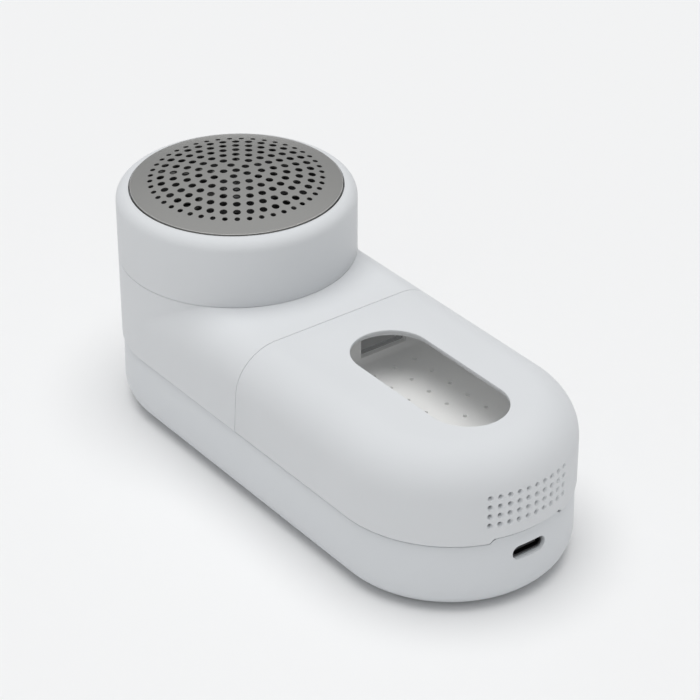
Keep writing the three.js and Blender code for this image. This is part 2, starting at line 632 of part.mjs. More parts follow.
function motorCan() {
  const can = revolve([
    [SHAFT_RADIUS + 2, MOTOR_TOP - 1], [MOTOR_RADIUS - 1, MOTOR_TOP - 1], [MOTOR_RADIUS - 1, MOTOR_LOW],
    [MOTOR_RADIUS, MOTOR_LOW], [MOTOR_RADIUS, MOTOR_TOP], [SHAFT_RADIUS + 2, MOTOR_TOP],
  ], 24);
  const hole = cylinder(0, MOTOR_SCREW_Y, SCREW_RADIUS + GAP, MOTOR_TOP - 2, MOTOR_TOP + 1, 10);
  return can.subtract(hole).subtract(hole.rotate([0, 0, 180]));
}

function motorMagnet(side) {
  const shape = new THREE.Shape();
  const [outer, inner] = [MOTOR_RADIUS - 1.3, MOTOR_RADIUS - 2.8];
  shape.absarc(0, 0, outer, -atAngle(60), atAngle(60));
  shape.absarc(0, 0, inner, atAngle(60), -atAngle(60), true);
  return prism(shape, MOTOR_LOW + 5, MOTOR_TOP - 7, 8).rotate([0, 0, side > 0 ? 0 : 180]);
}

function motorArmature() {
  const outer = MOTOR_RADIUS - 3.3;
  let core = cylinder(0, 0, SHAFT_RADIUS + 3, MOTOR_LOW + 6, MOTOR_TOP - 7, 12);
  for (let pole = 0; pole < 3; pole++) {
    const shape = new THREE.Shape();
    shape.absarc(0, 0, outer, -atAngle(48), atAngle(48));
    shape.absarc(0, 0, outer - 2, atAngle(48), -atAngle(48), true);
    const shoe = prism(shape, MOTOR_LOW + 6.5, MOTOR_TOP - 7.5, 5);
    const stem = box(SHAFT_RADIUS + 1, outer - 1, -2.4, 2.4, MOTOR_LOW + 6.5, MOTOR_TOP - 7.5);
    core = core.add(shoe.add(stem).rotate([0, 0, 120 * pole]));
  }
  return core.subtract(cylinder(0, 0, SHAFT_RADIUS + 0.2, MOTOR_LOW, MOTOR_TOP, 10));
}

function motorEndCap() {
  const radius = MOTOR_RADIUS - 1.3;
  return revolve([
    [SHAFT_RADIUS + 1.6, CAP_LOW], [radius, CAP_LOW], [radius, MOTOR_LOW + 4], [radius - 1.4, MOTOR_LOW + 4],
    [radius - 1.4, CAP_LOW + 1.6], [SHAFT_RADIUS + 1.6, CAP_LOW + 1.6],
  ], 24);
}

function motorBrush(side) {
  const [near, far] = [SHAFT_RADIUS + 2.4, MOTOR_RADIUS - 3];
  return side > 0
    ? box(near, far, -1.2, 1.2, BRUSH_Z, BRUSH_Z + 1.8)
    : box(-far, -near, -1.2, 1.2, BRUSH_Z, BRUSH_Z + 1.8);
}

// Height of the foil's outer face at a distance from the middle
const domeZ = (r) => FOIL_RIM_Z + FOIL_RISE - (DOME_RADIUS - Math.sqrt(DOME_RADIUS ** 2 - r ** 2));

function driveHub() {
  const low = FLOOR_TOP + 0.7;
  return revolve([
    [SHAFT_RADIUS + 0.2, low], [HUB_RADIUS + 2.2, low], [HUB_RADIUS + 2.2, low + 1.2],
    [HUB_RADIUS, low + 1.2], [HUB_RADIUS, CARRIER_TOP + 1], [SHAFT_RADIUS + 0.2, CARRIER_TOP + 1],
  ], 16);
}

function cutterCarrier() {
  const disc = tube(CARRIER_BORE, BLADE_REACH - 1, CARRIER_TOP - 1.6, CARRIER_TOP, 32);
  const hub = tube(CARRIER_BORE, CARRIER_BORE + 2.2, CARRIER_LOW, CARRIER_TOP, 16);
  let carrier = disc.add(hub);
  for (let vane = 0; vane < BLADES; vane++) {
    const blade = box(CARRIER_BORE + 1, BLADE_REACH - 2, -0.7, 0.7, CARRIER_LOW + 1.2, CARRIER_TOP - 1);
    carrier = carrier.add(blade.rotate([0, 0, (360 / BLADES) * (vane + 0.5)]));
  }
  return carrier.subtract(cylinder(0, 0, CARRIER_BORE, CARRIER_LOW - 1, CARRIER_TOP + 1, 16));
}

// An upright cutting blade whose top edge follows the dome of the foil
function cutterBlade(number) {
  const inner = CARRIER_BORE + 2.4;
  const steps = 5;
  const outline = [[inner, CARRIER_TOP + 0.1], [BLADE_REACH, CARRIER_TOP + 0.1]];
  for (let i = 0; i <= steps; i++) {
    const r = BLADE_REACH + ((inner - BLADE_REACH) * i) / steps;
    outline.push([r, domeZ(r) - FOIL_THICKNESS - BLADE_GAP]);
  }
  const flat = slab(polygon(outline), -BLADE_THICKNESS / 2, BLADE_THICKNESS / 2);
  return flat.rotate([0, 0, (360 / BLADES) * number]);
}

function guardRing() {
  const profile = [[BODY_RADIUS, RING_LOW]];
  const steps = 4;
  for (let i = 0; i <= steps; i++) {
    const angle = (Math.PI / 2) * (i / steps);
    profile.push([
      BODY_RADIUS - RING_FILLET * (1 - Math.cos(angle)),
      RING_TOP - RING_FILLET * (1 - Math.sin(angle)),
    ]);
  }
  const inner = FOIL_RADIUS + GAP;
  const grip = COLLAR_RADIUS + FIT_GAP;
  profile.push([inner, RING_TOP], [inner, SKIRT_LOW - GAP], [grip, SKIRT_LOW - GAP], [grip, RING_LOW]);
  return revolve(profile);
}

function foil() {
  const steps = 3;
  const top = [];
  const under = [];
  for (let i = 0; i <= steps; i++) {
    const r = (FOIL_RADIUS * i) / steps;
    top.push([r, domeZ(r)]);
    under.push([(r * (FOIL_RADIUS - FOIL_THICKNESS)) / FOIL_RADIUS, domeZ(r) - FOIL_THICKNESS]);
  }
  const skirt = [[FOIL_RADIUS, SKIRT_LOW], [FOIL_RADIUS - FOIL_THICKNESS, SKIRT_LOW]];
  let sheet = revolve([...top, ...skirt, ...under.reverse()], ROUND_SIDES / 2);
  const rows = HOLE_ROWS.map((count, row) => ({ count, r: row * HOLE_ROW_PITCH, radius: HOLE_RADIUS }));
  rows.push({ count: EDGE_HOLES, r: (HOLE_ROWS.length - 0.1) * HOLE_ROW_PITCH, radius: EDGE_HOLE_RADIUS });
  for (const { count, r, radius } of rows) {
    const punches = [];
    for (let i = 0; i < count; i++) {
      const [x, y] = polar(r, (360 * (i + 0.25)) / count);
      punches.push(cylinder(x, y, radius, RING_TOP, FOIL_RIM_Z + FOIL_RISE + 1, HOLE_SIDES));
    }
    sheet = sheet.subtract(joined(punches));
  }
  return sheet;
}

function interlockPin() {
  const stem = cylinder(-PIN_CIRCLE, 0, PIN_RADIUS, PIN_FOOT, RING_LOW - 0.1, 10);
  return stem.add(cylinder(-PIN_CIRCLE, 0, PIN_RADIUS + 0.35, PIN_FOOT + 2.6, PIN_FOOT + 3.2, 10));
}

piece(head, "cutter_well", cutterWell(), "dark");
piece(head, "motor_can", motorCan(), "zinc");
for (const [number, side] of [[1, 1], [2, -1]]) {
  piece(head, "motor_magnet_" + number, motorMagnet(side), "dark");
  piece(head, "motor_brush_" + number, motorBrush(side), "copper");
  piece(head, "motor_screw_" + number, screw(0, side * MOTOR_SCREW_Y, FLOOR_TOP + 0.1, 5, -1), "zinc");
}
piece(head, "motor_end_cap", motorEndCap(), "dark");
piece(head, "motor_armature", motorArmature(), "copper");
// A sleeve round the shaft with the least gap, its wall this thick
const sleeve = (gap, wall, z0, z1) => tube(SHAFT_RADIUS + gap, SHAFT_RADIUS + gap + wall, z0, z1, 12);

piece(head, "motor_commutator", sleeve(0.2, 1.8, BRUSH_Z - 1, MOTOR_LOW + 5.4), "copper");
piece(head, "upper_bushing", sleeve(0.1, 1.6, MOTOR_TOP - 1.6, FLOOR_LOW + 0.8), "brass");
piece(head, "lower_bushing", sleeve(0.1, 1.2, CAP_LOW + 0.2, CAP_LOW + 2), "brass");
piece(head, "motor_shaft", cylinder(0, 0, SHAFT_RADIUS, CAP_LOW + 0.3, CARRIER_TOP + 2.2, 12), "steel");
piece(head, "drive_hub", driveHub(), "dark");
piece(
  head,
  "retaining_clip",
  tube(SHAFT_RADIUS + 0.2, HUB_RADIUS + 1.6, CARRIER_TOP + 1.3, CARRIER_TOP + 1.9, 16),
  "steel",
);
piece(head, "cutter_spring", coil(HUB_RADIUS + 1, 0.3, FLOOR_TOP + 1.95, CARRIER_LOW - 0.05, 3), "steel");
piece(head, "cutter_carrier", cutterCarrier(), "dark");
for (let number = 1; number <= BLADES; number++)
  piece(head, "cutter_blade_" + number, cutterBlade(number), "steel");
piece(head, "guard_ring", guardRing(), "shell");
piece(head, "foil", foil(), "foil");
piece(
  head,
  "foil_retainer",
  tube(WELL_RADIUS - 0.2, FOIL_RADIUS - FOIL_THICKNESS - GAP, SKIRT_LOW, RING_TOP - 0.6, ROUND_SIDES / 2),
  "dark",
);
piece(
  head,
  "interlock_switch",
  box(-BODY_RADIUS + WALL + 0.5, -PIN_CIRCLE + 2.4, -3, 3, INTERLOCK_LOW, INTERLOCK_TOP),
  "dark",
);
piece(head, "interlock_pin", interlockPin(), "inner");
piece(
  head,
  "interlock_spring",
  coil(PIN_RADIUS + 0.3, 0.15, INTERLOCK_TOP + 0.1, PIN_FOOT + 2.5, 3).translate([-PIN_CIRCLE, 0, 0]),
  "steel",
);

// ---------------------------------------------------------------- lint bin

function windowOutline(inset) {
  return stadium(WINDOW_X0 + inset, WINDOW_X1 - inset, WINDOW_WIDTH / 2 - inset);
}

function binCover() {
  const outer = upperBody(0).intersect(beyondSeam(SEAM_GAP / 2));
  let cover = outer.subtract(upperBody(WALL, UPPER_LOW - 1));
  cover = cover.subtract(prism(windowOutline(0), BODY_TOP - WINDOW_THICKNESS - GAP, BODY_TOP + 1));
  cover = cover.subtract(prism(windowOutline(1.4), BODY_TOP - WALL - 1, BODY_TOP + 1));
  cover = cover.subtract(notchWedge(NOTCH_HALF_ANGLE, 0, UPPER_LOW + NOTCH_RISE));
  const punches = [];
  const columnAngle = THREE.MathUtils.radToDeg(VENT_PITCH / BODY_RADIUS);
  for (let column = 0; column < VENT_COLUMNS; column++)
    for (let row = 0; row < VENT_ROWS; row++) {
      const punch = cylinder(0, 0, VENT_RADIUS, BODY_RADIUS - WALL - 2, BODY_RADIUS + 1, HOLE_SIDES);
      const angle = columnAngle * (column - (VENT_COLUMNS - 1) / 2);
      const turned = punch.rotate([0, 90, 0]).rotate([0, 0, angle]);
      punches.push(turned.translate([TAIL_X, 0, BODY_TOP - VENT_DROP - VENT_PITCH * row]));
    }
  return cover.subtract(joined(punches));
}

// Floor, walls and the inlet that the duct blows into
function binTray() {
  const inner = TRAY_RADIUS - TRAY_WALL;
  const front = TRAY_FRONT;
  const end = TAIL_X + TRAY_RADIUS;
  const tailSide = (radius, z0, z1, from) =>
    prism(stadium(from - radius, TAIL_X + radius, radius), z0, z1, 10).intersect(
      box(from, end + 1, -TRAY_RADIUS, TRAY_RADIUS, z0 - 1, z1 + 1),
    );
  let tray = tailSide(TRAY_RADIUS, TRAY_LOW, TRAY_TOP, front);
  tray = tray.subtract(tailSide(inner, TRAY_FLOOR, TRAY_TOP + 1, front + TRAY_WALL));
  tray = tray.subtract(tailSide(inner, TRAY_LOW - 1, TRAY_UNDER, front + TRAY_WALL));
  tray = tray.subtract(box(TAIL_X, end + 1, -12, 12, TRAY_LOW - 1, TRAY_UNDER));
  // The deck's rails run through two notches in the front wall as the bin slides.
  const notchHalf = RAIL_HALF + FIT_GAP;
  for (const side of [-1, 1]) {
    const [y0, y1] = [side * RAIL_Y - notchHalf, side * RAIL_Y + notchHalf];
    tray = tray.subtract(box(front - 1, front + 3, y0, y1, TRAY_LOW - 1, RAIL_TOP + FIT_GAP));
  }
  const inletHalf = DUCT_HALF - 1.6;
  for (const side of [-1, 1]) {
    const [y0, y1] = [INLET_POST * side, inletHalf * side].sort((a, b) => a - b);
    tray = tray.subtract(box(front - 1, front + 3, y0, y1, TRAY_FLOOR + 1.3, TRAY_TOP + 1));
  }
  const punches = [];
  const columns = Math.floor((inner - 2) / DOT_PITCH_Y);
  for (let x = front + TRAY_WALL + DOT_PITCH_X - 0.4; x < TAIL_X + inner - 2; x += DOT_PITCH_X)
    for (let column = -columns; column < columns; column++) {
      const y = (column + 0.5) * DOT_PITCH_Y;
      const inside = x < TAIL_X || Math.hypot(x - TAIL_X, y) < inner - 2;
      if (inside) punches.push(cylinder(x, y, DOT_RADIUS, TRAY_FLOOR - 2, TRAY_FLOOR + 1, HOLE_SIDES));
    }
  return tray.subtract(joined(punches));
}

// A leaf of spring steel on the deck that holds the bin by its underside, drawn pressed down
function binCatch() {
  const x = SEAM_X + 12;
  const z = DECK_TOP + GAP;
  const leaf = polygon([
    [x, z], [x + 14, z], [x + 14, z + 0.4], [x + 9, z + 0.4],
    [x + 6, z + 1.4], [x + 5, z + 1.4], [x + 2, z + 0.4], [x, z + 0.4],
  ]);
  return slab(leaf, -4, 4);
}

piece(shaver, "bin_catch", binCatch(), "steel");
piece(shaver, "bin_cover", binCover(), "shell");
piece(
  shaver,
  "bin_window",
  prism(windowOutline(0.3), BODY_TOP - WINDOW_THICKNESS, BODY_TOP, 16),
  "clear",
);
piece(shaver, "bin_tray", binTray(), "inner");

// ---------------------------------------------------------------- leads

const LEAD_RADIUS = 0.6;
const leadZ = BOARD_TOP + LEAD_RADIUS + 0.4;

function lead(name, points, material) {
  piece(shaver, name, wire(points, LEAD_RADIUS, 12), material);
}

const boardEdge = BATTERY_END - 1;
for (const [name, side, material] of [["red", 1, "red"], ["black", -1, "black"]]) {
  lead("battery_lead_" + name, [
    [BATTERY_X - 1.4, side * 6, BATTERY_TOP - 2],
    [BATTERY_X - 1, side * 6, leadZ - 0.6],
    [BATTERY_X + 8, side * 6.5, leadZ],
    [BATTERY_X + BATTERY_LENGTH / 2, side * 9, leadZ],
    [boardEdge - 3, side * 10, leadZ + 0.2],
    [boardEdge + 2.4, side * 10, BOARD_TOP + LEAD_RADIUS + 0.3],
  ], material);
  lead("motor_lead_" + name, [
    [HEAD_X + 6, side * 2, CAP_LOW - LEAD_RADIUS - 0.3],
    [HEAD_X + MOTOR_RADIUS - 0.4, side * 2.1, CAP_LOW - LEAD_RADIUS - 0.2],
    [HEAD_X + CRADLE_RADIUS + 1.4, side * 2.2, BATTERY_TOP + 0.6],
    [BATTERY_X + 1, side * 2.4, leadZ + 0.8],
    [BATTERY_X + BATTERY_LENGTH / 2, side * 3.4, leadZ + 0.6],
    [boardEdge - 3, side * 4, leadZ + 0.6],
    [boardEdge + 3, side * 4, BOARD_TOP + LEAD_RADIUS + 0.3],
  ], material);
}

export default shaver;
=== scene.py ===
# %% [markdown]
# # A cordless fabric shaver
# The imported model fixes where every solid part is and how it moves. This script dresses it: the visible
# shells are remade with smooth, finely divided surfaces, the perforated parts get their real holes, and
# every part gets a finish of its own. We start by loading the imported model and keeping its outer box.
# The finished look may not be bigger than the part.

# %% Load the imported model
import math

import bmesh
import bpy
from mathutils import Matrix, Vector


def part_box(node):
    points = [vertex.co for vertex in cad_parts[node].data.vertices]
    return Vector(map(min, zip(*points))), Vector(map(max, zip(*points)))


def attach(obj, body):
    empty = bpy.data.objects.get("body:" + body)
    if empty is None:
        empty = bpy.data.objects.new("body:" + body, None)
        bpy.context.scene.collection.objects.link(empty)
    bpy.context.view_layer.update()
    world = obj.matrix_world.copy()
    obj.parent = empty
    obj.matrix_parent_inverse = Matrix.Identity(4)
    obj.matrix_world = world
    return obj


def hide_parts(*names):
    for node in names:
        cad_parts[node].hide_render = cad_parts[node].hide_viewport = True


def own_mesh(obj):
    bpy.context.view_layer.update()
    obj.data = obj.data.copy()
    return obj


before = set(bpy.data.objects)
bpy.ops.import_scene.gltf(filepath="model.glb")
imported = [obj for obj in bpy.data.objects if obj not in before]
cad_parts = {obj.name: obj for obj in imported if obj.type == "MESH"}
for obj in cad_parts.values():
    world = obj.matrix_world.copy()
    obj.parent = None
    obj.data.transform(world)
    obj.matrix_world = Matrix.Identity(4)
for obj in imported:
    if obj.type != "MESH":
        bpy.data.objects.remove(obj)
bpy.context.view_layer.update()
MM = 0.001

# %% [markdown]
# ## Measures
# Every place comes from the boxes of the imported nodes, so that nothing has to be fitted by eye. We think
# in millimetres and turn them into metres only where a mesh is made.


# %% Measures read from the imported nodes
def span(node):
    low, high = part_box(node)
    return low / MM, high / MM


ring_low, ring_high = span("guard_ring")
cover_low, cover_high = span("bin_cover")
neck_high = span("neck_shell")[1]
base_high = span("base_shell")[1]

HEAD_X = (ring_low.x + ring_high.x) / 2
RADIUS = (ring_high.x - ring_low.x) / 2
TAIL_X = cover_high.x - RADIUS
UPPER_LOW = cover_low.z
BODY_TOP = cover_high.z
SEAM_GAP = 0.3
SEEN_GAP = 0.11
BASE_TOP = UPPER_LOW - SEAM_GAP
SEAM_LEAN = (neck_high.x + SEAM_GAP - cover_low.x) / (BODY_TOP - UPPER_LOW)
SHOULDER = 11
WALL = 2
print("head axis", round(HEAD_X, 2), "tail axis", round(TAIL_X, 2), "radius", round(RADIUS, 2))


def seam_x(z, offset):
    """Where the leaning seam between the neck and the bin is, at a height."""
    return cover_low.x - SEAM_GAP / 2 + SEAM_LEAN * (z - UPPER_LOW) + offset


# %% [markdown]
# ## Camera
# A long lens from well back, above the corner of the tail, keeps the sides of the body almost parallel.
# A camera looks along its own -Z, so its turn comes from the line between it and the point it looks at.

# %% Camera
CAMERA_AZIMUTH = 52.85
CAMERA_ELEVATION = 31.59
CAMERA_DISTANCE = 621.6
CAMERA_TARGET = Vector((4.3, 0, 33.9))

azimuth, elevation = math.radians(CAMERA_AZIMUTH), math.radians(CAMERA_ELEVATION)
to_camera = Vector((
    math.sin(azimuth) * math.cos(elevation),
    -math.cos(azimuth) * math.cos(elevation),
    math.sin(elevation),
))
camera = bpy.data.objects.new("camera", bpy.data.cameras.new("camera"))
camera.data.lens = 133
camera.data.sensor_width = 36
camera.data.clip_start = 0.01
camera.location = (CAMERA_TARGET + to_camera * CAMERA_DISTANCE) * MM
camera.rotation_euler = to_camera.to_track_quat("Z", "Y").to_euler()
bpy.context.collection.objects.link(camera)
bpy.context.scene.camera = camera
print("camera at", [round(v, 3) for v in camera.location])

# %% [markdown]
# ## A small language for nodes
# Materials and Geometry Nodes are both graphs of nodes. Written out in full, each link takes a line, and
# the idea is lost. Two small classes help. `Value` is a node's output that can be added, multiplied and
# so on, and each operation adds its own Math node. `Graph` adds any other node in one call: its settings
# first, then its sockets, by number or by name, as plain values or as links.


# %% Node helpers
class Value:
    """An output socket that takes part in sums."""

    def __init__(self, graph, socket):
        self.graph = graph
        self.socket = socket

    def combine(self, operation, first, second):
        return self.graph.node("ShaderNodeMath", {"operation": operation}, {0: first, 1: second})

    def __add__(self, other):
        return self.combine("ADD", self, other)

    def __sub__(self, other):
        return self.combine("SUBTRACT", self, other)

    def __rsub__(self, other):
        return self.combine("SUBTRACT", other, self)

    def __mul__(self, other):
        return self.combine("MULTIPLY", self, other)

    def __truediv__(self, other):
        return self.combine("DIVIDE", self, other)

    def __gt__(self, other):
        return self.combine("GREATER_THAN", self, other)

    __radd__ = __add__
    __rmul__ = __mul__


def socket_of(sockets, key):
    if isinstance(key, int):
        return sockets[key]
    return next(s for s in sockets if key in (s.identifier, s.name))


class Graph:
    """A node tree that is filled one call at a time."""

    def __init__(self, tree):
        self.tree = tree

    def put(self, socket, value):
        if isinstance(value, Value):
            self.tree.links.new(value.socket, socket)
        else:
            socket.default_value = value

    def node(self, kind, settings=None, sockets=None, output=0):
        made = self.tree.nodes.new(kind)
        for name, value in (settings or {}).items():
            setattr(made, name, value)
        for key, value in (sockets or {}).items():
            for each in value if isinstance(value, list) else [value]:
                self.put(socket_of(made.inputs, key), each)
        if not made.outputs:
            return made
        return Value(self, socket_of(made.outputs, output))


# %% [markdown]
# ## Mesh helpers
# Most pieces here are either turned, like work on a lathe, or skinned through a stack of outlines, like
# the ribs of a boat. Both end as rings of points joined by faces. Holes are cut afterwards with solid
# tools. The Manifold solver is quick and exact, as long as every solid is closed.


# %% Mesh helpers
def add_object(name, mesh):
    made = bpy.data.objects.new(name, mesh)
    bpy.context.collection.objects.link(made)
    return made


def object_from(name, bm):
    bmesh.ops.remove_doubles(bm, verts=bm.verts, dist=0.0005 * MM)
    bmesh.ops.recalc_face_normals(bm, faces=bm.faces)
    mesh = bpy.data.meshes.new(name)
    bm.to_mesh(mesh)
    bm.free()
    return add_object(name, mesh)


def skin(name, rings, closed_row=False):
    """A solid through rings of equally many points; with closed_row the last ring joins the first."""
    bm = bmesh.new()
    rows = [[bm.verts.new(Vector(point) * MM) for point in ring] for ring in rings]
    count = len(rings[0])
    pairs = list(zip(rows, rows[1:]))
    if closed_row:
        pairs.append((rows[-1], rows[0]))
    for near, far in pairs:
        for i in range(count):
            j = (i + 1) % count
            bm.faces.new((near[i], near[j], far[j], far[i]))
    if not closed_row:
        bm.faces.new(rows[0][::-1])
        bm.faces.new(rows[-1])
    return object_from(name, bm)


def turned(name, profile, x=HEAD_X, y=0.0, sides=96):
    """A turned solid from a closed profile of (radius, height), which may start and end on the axis."""
    on_axis = profile[0][0] == 0 and profile[-1][0] == 0
    angles = [2 * math.pi * i / sides for i in range(sides)]
    rings = [[(x + r * math.cos(a), y + r * math.sin(a), z) for a in angles] for r, z in profile]
    if not on_axis:
        return skin(name, rings, closed_row=True)
    bm = bmesh.new()
    rows = [[bm.verts.new(Vector(point) * MM) for point in ring] for ring in rings]
    for near, far in zip(rows, rows[1:]):
        for i in range(sides):
            j = (i + 1) % sides
            bm.faces.new((near[i], near[j], far[j], far[i]))
    return object_from(name, bm)


def rod(name, x, y, radius, z0, z1, sides=32):
    return turned(name, [(0, z0), (radius, z0), (radius, z1), (0, z1)], x, y, sides)


def sleeve(name, inner, outer, z0, z1, sides=96, edge=0.15, x=HEAD_X, y=0.0):
    """A turned tube whose four rims are slightly rounded."""
    profile = []
    for r, z, rs, zs in ((outer, z0, -1, 1), (outer, z1, -1, -1), (inner, z1, 1, -1), (inner, z0, 1, 1)):
        corner = rounded(r, z, rs, zs, edge, 3)
        profile += corner if rs == zs * -1 else corner[::-1]
    return turned(name, profile, x, y, sides)


def rounded(r, z, r_side, z_side, size, steps):
    """A quarter-round corner at (r, z), from its level face to its upright face."""
    points = []
    for i in range(steps + 1):
        a = math.pi / 2 * i / steps
        points.append((r + r_side * size * (1 - math.sin(a)), z + z_side * size * (1 - math.cos(a))))
    return points


def block(name, x0, x1, y0, y1, z0, z1):
    corners = [(x0, y0), (x1, y0), (x1, y1), (x0, y1)]
    return skin(name, [[(x, y, z) for x, y in corners] for z in (z0, z1)])


def freeze(piece):
    """The piece with its modifiers worked into a plain mesh."""
    seen = piece.evaluated_get(bpy.context.evaluated_depsgraph_get())
    mesh = bpy.data.meshes.new_from_object(seen)
    piece.modifiers.clear()
    old, piece.data = piece.data, mesh
    bpy.data.meshes.remove(old)
    mesh.name = piece.name
    return piece


def shape_with(piece, tools, operation="DIFFERENCE"):
    """Cuts the tools from the piece, or joins them to it, and removes the tools."""
    for tool in tools:
        modifier = piece.modifiers.new("shape", "BOOLEAN")
        modifier.operation = operation
        modifier.solver = "MANIFOLD"
        modifier.object = tool
    freeze(piece)
    for tool in tools:
        bpy.data.objects.remove(tool)
    return piece


def smooth(piece, angle=32):
    for polygon in piece.data.polygons:
        polygon.use_smooth = True
    piece.data.set_sharp_from_angle(angle=math.radians(angle))
    return piece


def hand_over(piece, finish, body, slot, *nodes):
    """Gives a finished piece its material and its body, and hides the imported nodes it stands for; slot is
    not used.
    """
    piece.data.materials.clear()
    piece.data.materials.append(finish)
    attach(piece, body)
    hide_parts(*nodes)
    triangles = sum(len(p.vertices) - 2 for p in piece.data.polygons)
    print(piece.name, triangles, "triangles on", body)
    return piece


# %% [markdown]
# ## Moulded plastic
# The shells are injection-moulded ABS with a fine spark-eroded texture: matt, slightly uneven in gloss,
# and never one flat white. Three noises do it. A broad one moves the colour by about one part in a
# hundred, a middle one the roughness, and a grain of a quarter of a millimetre feeds the bump. The
# coordinates are Object ones, so the pattern is fixed to the piece.


# %% Moulded plastic
def begin_material(name):
    material = bpy.data.materials.new(name)
    material.use_nodes = True
    material.node_tree.nodes.clear()
    graph = Graph(material.node_tree)
    where = graph.node("ShaderNodeTexCoord", output="Object")
    return material, graph, where


def noise(graph, where, size, detail=2.0, rough=0.5):
    """Noise from 0 to 1 whose spots are about size millimetres across."""
    settings = {0: where, "Scale": 1 / (size * MM), "Detail": detail, "Roughness": rough}
    settings = {("Vector" if key == 0 else key): value for key, value in settings.items()}
    return graph.node("ShaderNodeTexNoise", None, settings)


def mixed(graph, factor, first, second):
    return graph.node(
        "ShaderNodeMix",
        {"data_type": "RGBA"},
        {"Factor_Float": factor, "A_Color": (*first, 1), "B_Color": (*second, 1)},
        "Result_Color",
    )


def bump(graph, height, strength, depth):
    """Relief whose highest points stand depth millimetres proud."""
    return graph.node(
        "ShaderNodeBump", None, {"Strength": strength, "Distance": depth * MM, "Height": height}
    )


def surface(graph, sockets):
    shader = graph.node("ShaderNodeBsdfPrincipled", None, sockets)
    graph.node("ShaderNodeOutputMaterial", None, {"Surface": shader})


def moulded(name, pale, shade, gloss, grain=0.25, relief=0.1, depth=0.02):
    material, graph, where = begin_material(name)
    cloud = noise(graph, where, 22, 3)
    wear = noise(graph, where, 2.5, 4)
    texture = noise(graph, where, grain, 2)
    surface(graph, {
        "Base Color": mixed(graph, cloud, shade, pale),
        "Roughness": gloss + (wear - 0.5) * 0.12,
        "IOR": 1.49,
        "Normal": bump(graph, texture, relief, depth),
    })
    return material


WHITE_SHELL = moulded("matt white shell", (0.75, 0.765, 0.78), (0.725, 0.74, 0.755), 0.5)
BASE_SHELL = moulded("satin white base", (0.735, 0.755, 0.775), (0.71, 0.73, 0.75), 0.42)
INNER_PLASTIC = moulded("inner white plastic", (0.70, 0.71, 0.70), (0.67, 0.68, 0.67), 0.45)
TRAY_PLASTIC = moulded("bin plastic", (0.92, 0.915, 0.9), (0.9, 0.895, 0.88), 0.38, 0.4, 0.06)
CHARCOAL = moulded("charcoal plastic", (0.06, 0.06, 0.062), (0.045, 0.045, 0.047), 0.55)
BLACK_PLASTIC = moulded("black plastic", (0.022, 0.023, 0.025), (0.016, 0.017, 0.018), 0.5)
SEAL_RUBBER = moulded("seal rubber", (0.07, 0.072, 0.075), (0.05, 0.052, 0.055), 0.8, 0.5)
print(len(bpy.data.materials), "materials so far")

# %% [markdown]
# ## Metals
# The foil and the blades are stainless steel. Rolling and brushing leave fine lines in one direction, so
# the noise behind them is stretched: its coordinates are squeezed across the lines and drawn out along
# them. The same lines drive the colour, the roughness and a very shallow bump.


# %% Metals
def metal(name, bright, dull, gloss, stretch, grain=0.12, relief=0.12, spread=0.2):
    material, graph, where = begin_material(name)
    drawn = graph.node("ShaderNodeMapping", None, {"Vector": where, "Scale": stretch})
    lines = noise(graph, drawn, grain, 3, 0.6)
    stain = noise(graph, where, 9, 3)
    surface(graph, {
        "Base Color": mixed(graph, lines * 0.6 + stain * 0.4, dull, bright),
        "Metallic": 1.0,
        "Roughness": gloss + (lines - 0.5) * spread + (stain - 0.5) * 0.06,
        "Normal": bump(graph, lines, relief, 0.01),
    })
    return material


FOIL_STEEL = metal("brushed foil steel", (0.8, 0.79, 0.76), (0.7, 0.69, 0.665), 0.34, (1, 0.03, 1))
BLADE_STEEL = metal("ground blade steel", (0.62, 0.62, 0.61), (0.5, 0.5, 0.49), 0.28, (1, 1, 0.05))
SPRING_STEEL = metal("spring steel", (0.55, 0.55, 0.56), (0.42, 0.42, 0.43), 0.3, (1, 1, 0.2))
# The charging socket's near-black steel colour is painted shade: it stands in for the darkness deep inside
# the port.
PORT_STEEL_PAINTED_SHADE = metal("black nickel", (0.12, 0.12, 0.125), (0.07, 0.07, 0.072), 0.42, (1, 1, 0.2))
ZINC_PLATE = metal("zinc plate", (0.68, 0.7, 0.73), (0.55, 0.57, 0.6), 0.34, (1, 1, 1), 0.6)
COPPER = metal("copper winding", (0.72, 0.36, 0.2), (0.5, 0.22, 0.11), 0.38, (1, 1, 8), 1.5)
BRONZE = metal("sintered bronze", (0.6, 0.42, 0.18), (0.45, 0.3, 0.12), 0.5, (1, 1, 1), 0.15)
print(len(bpy.data.materials), "materials so far")

# %% [markdown]
# ## Lens, lamp, battery, board and leads
# The lens is clear and thin, so a low alpha shows the bin with a faint film of gloss and no dark rim.
# The circuit board is green laminate over a woven core, and the battery wears a printed-film sleeve.

# %% Other finishes
CLEAR_LENS, graph, where = begin_material("clear lens")
surface(graph, {
    "Base Color": (0.9, 0.92, 0.92, 1),
    "Roughness": 0.06 + noise(graph, where, 6) * 0.05,
    "Alpha": 0.05,
})

LAMP_CLEAR, graph, where = begin_material("frosted lamp")
surface(graph, {
    "Base Color": mixed(graph, noise(graph, where, 1), (0.8, 0.8, 0.72), (0.86, 0.86, 0.8)),
    "Roughness": 0.3,
})

BATTERY_WRAP, graph, where = begin_material("battery wrap")
surface(graph, {
    "Base Color": mixed(graph, noise(graph, where, 7, 3), (0.2, 0.3, 0.42), (0.25, 0.36, 0.48)),
    "Roughness": 0.3 + noise(graph, where, 3) * 0.15,
    "Normal": bump(graph, noise(graph, where, 4, 3), 0.3, 0.1),
})

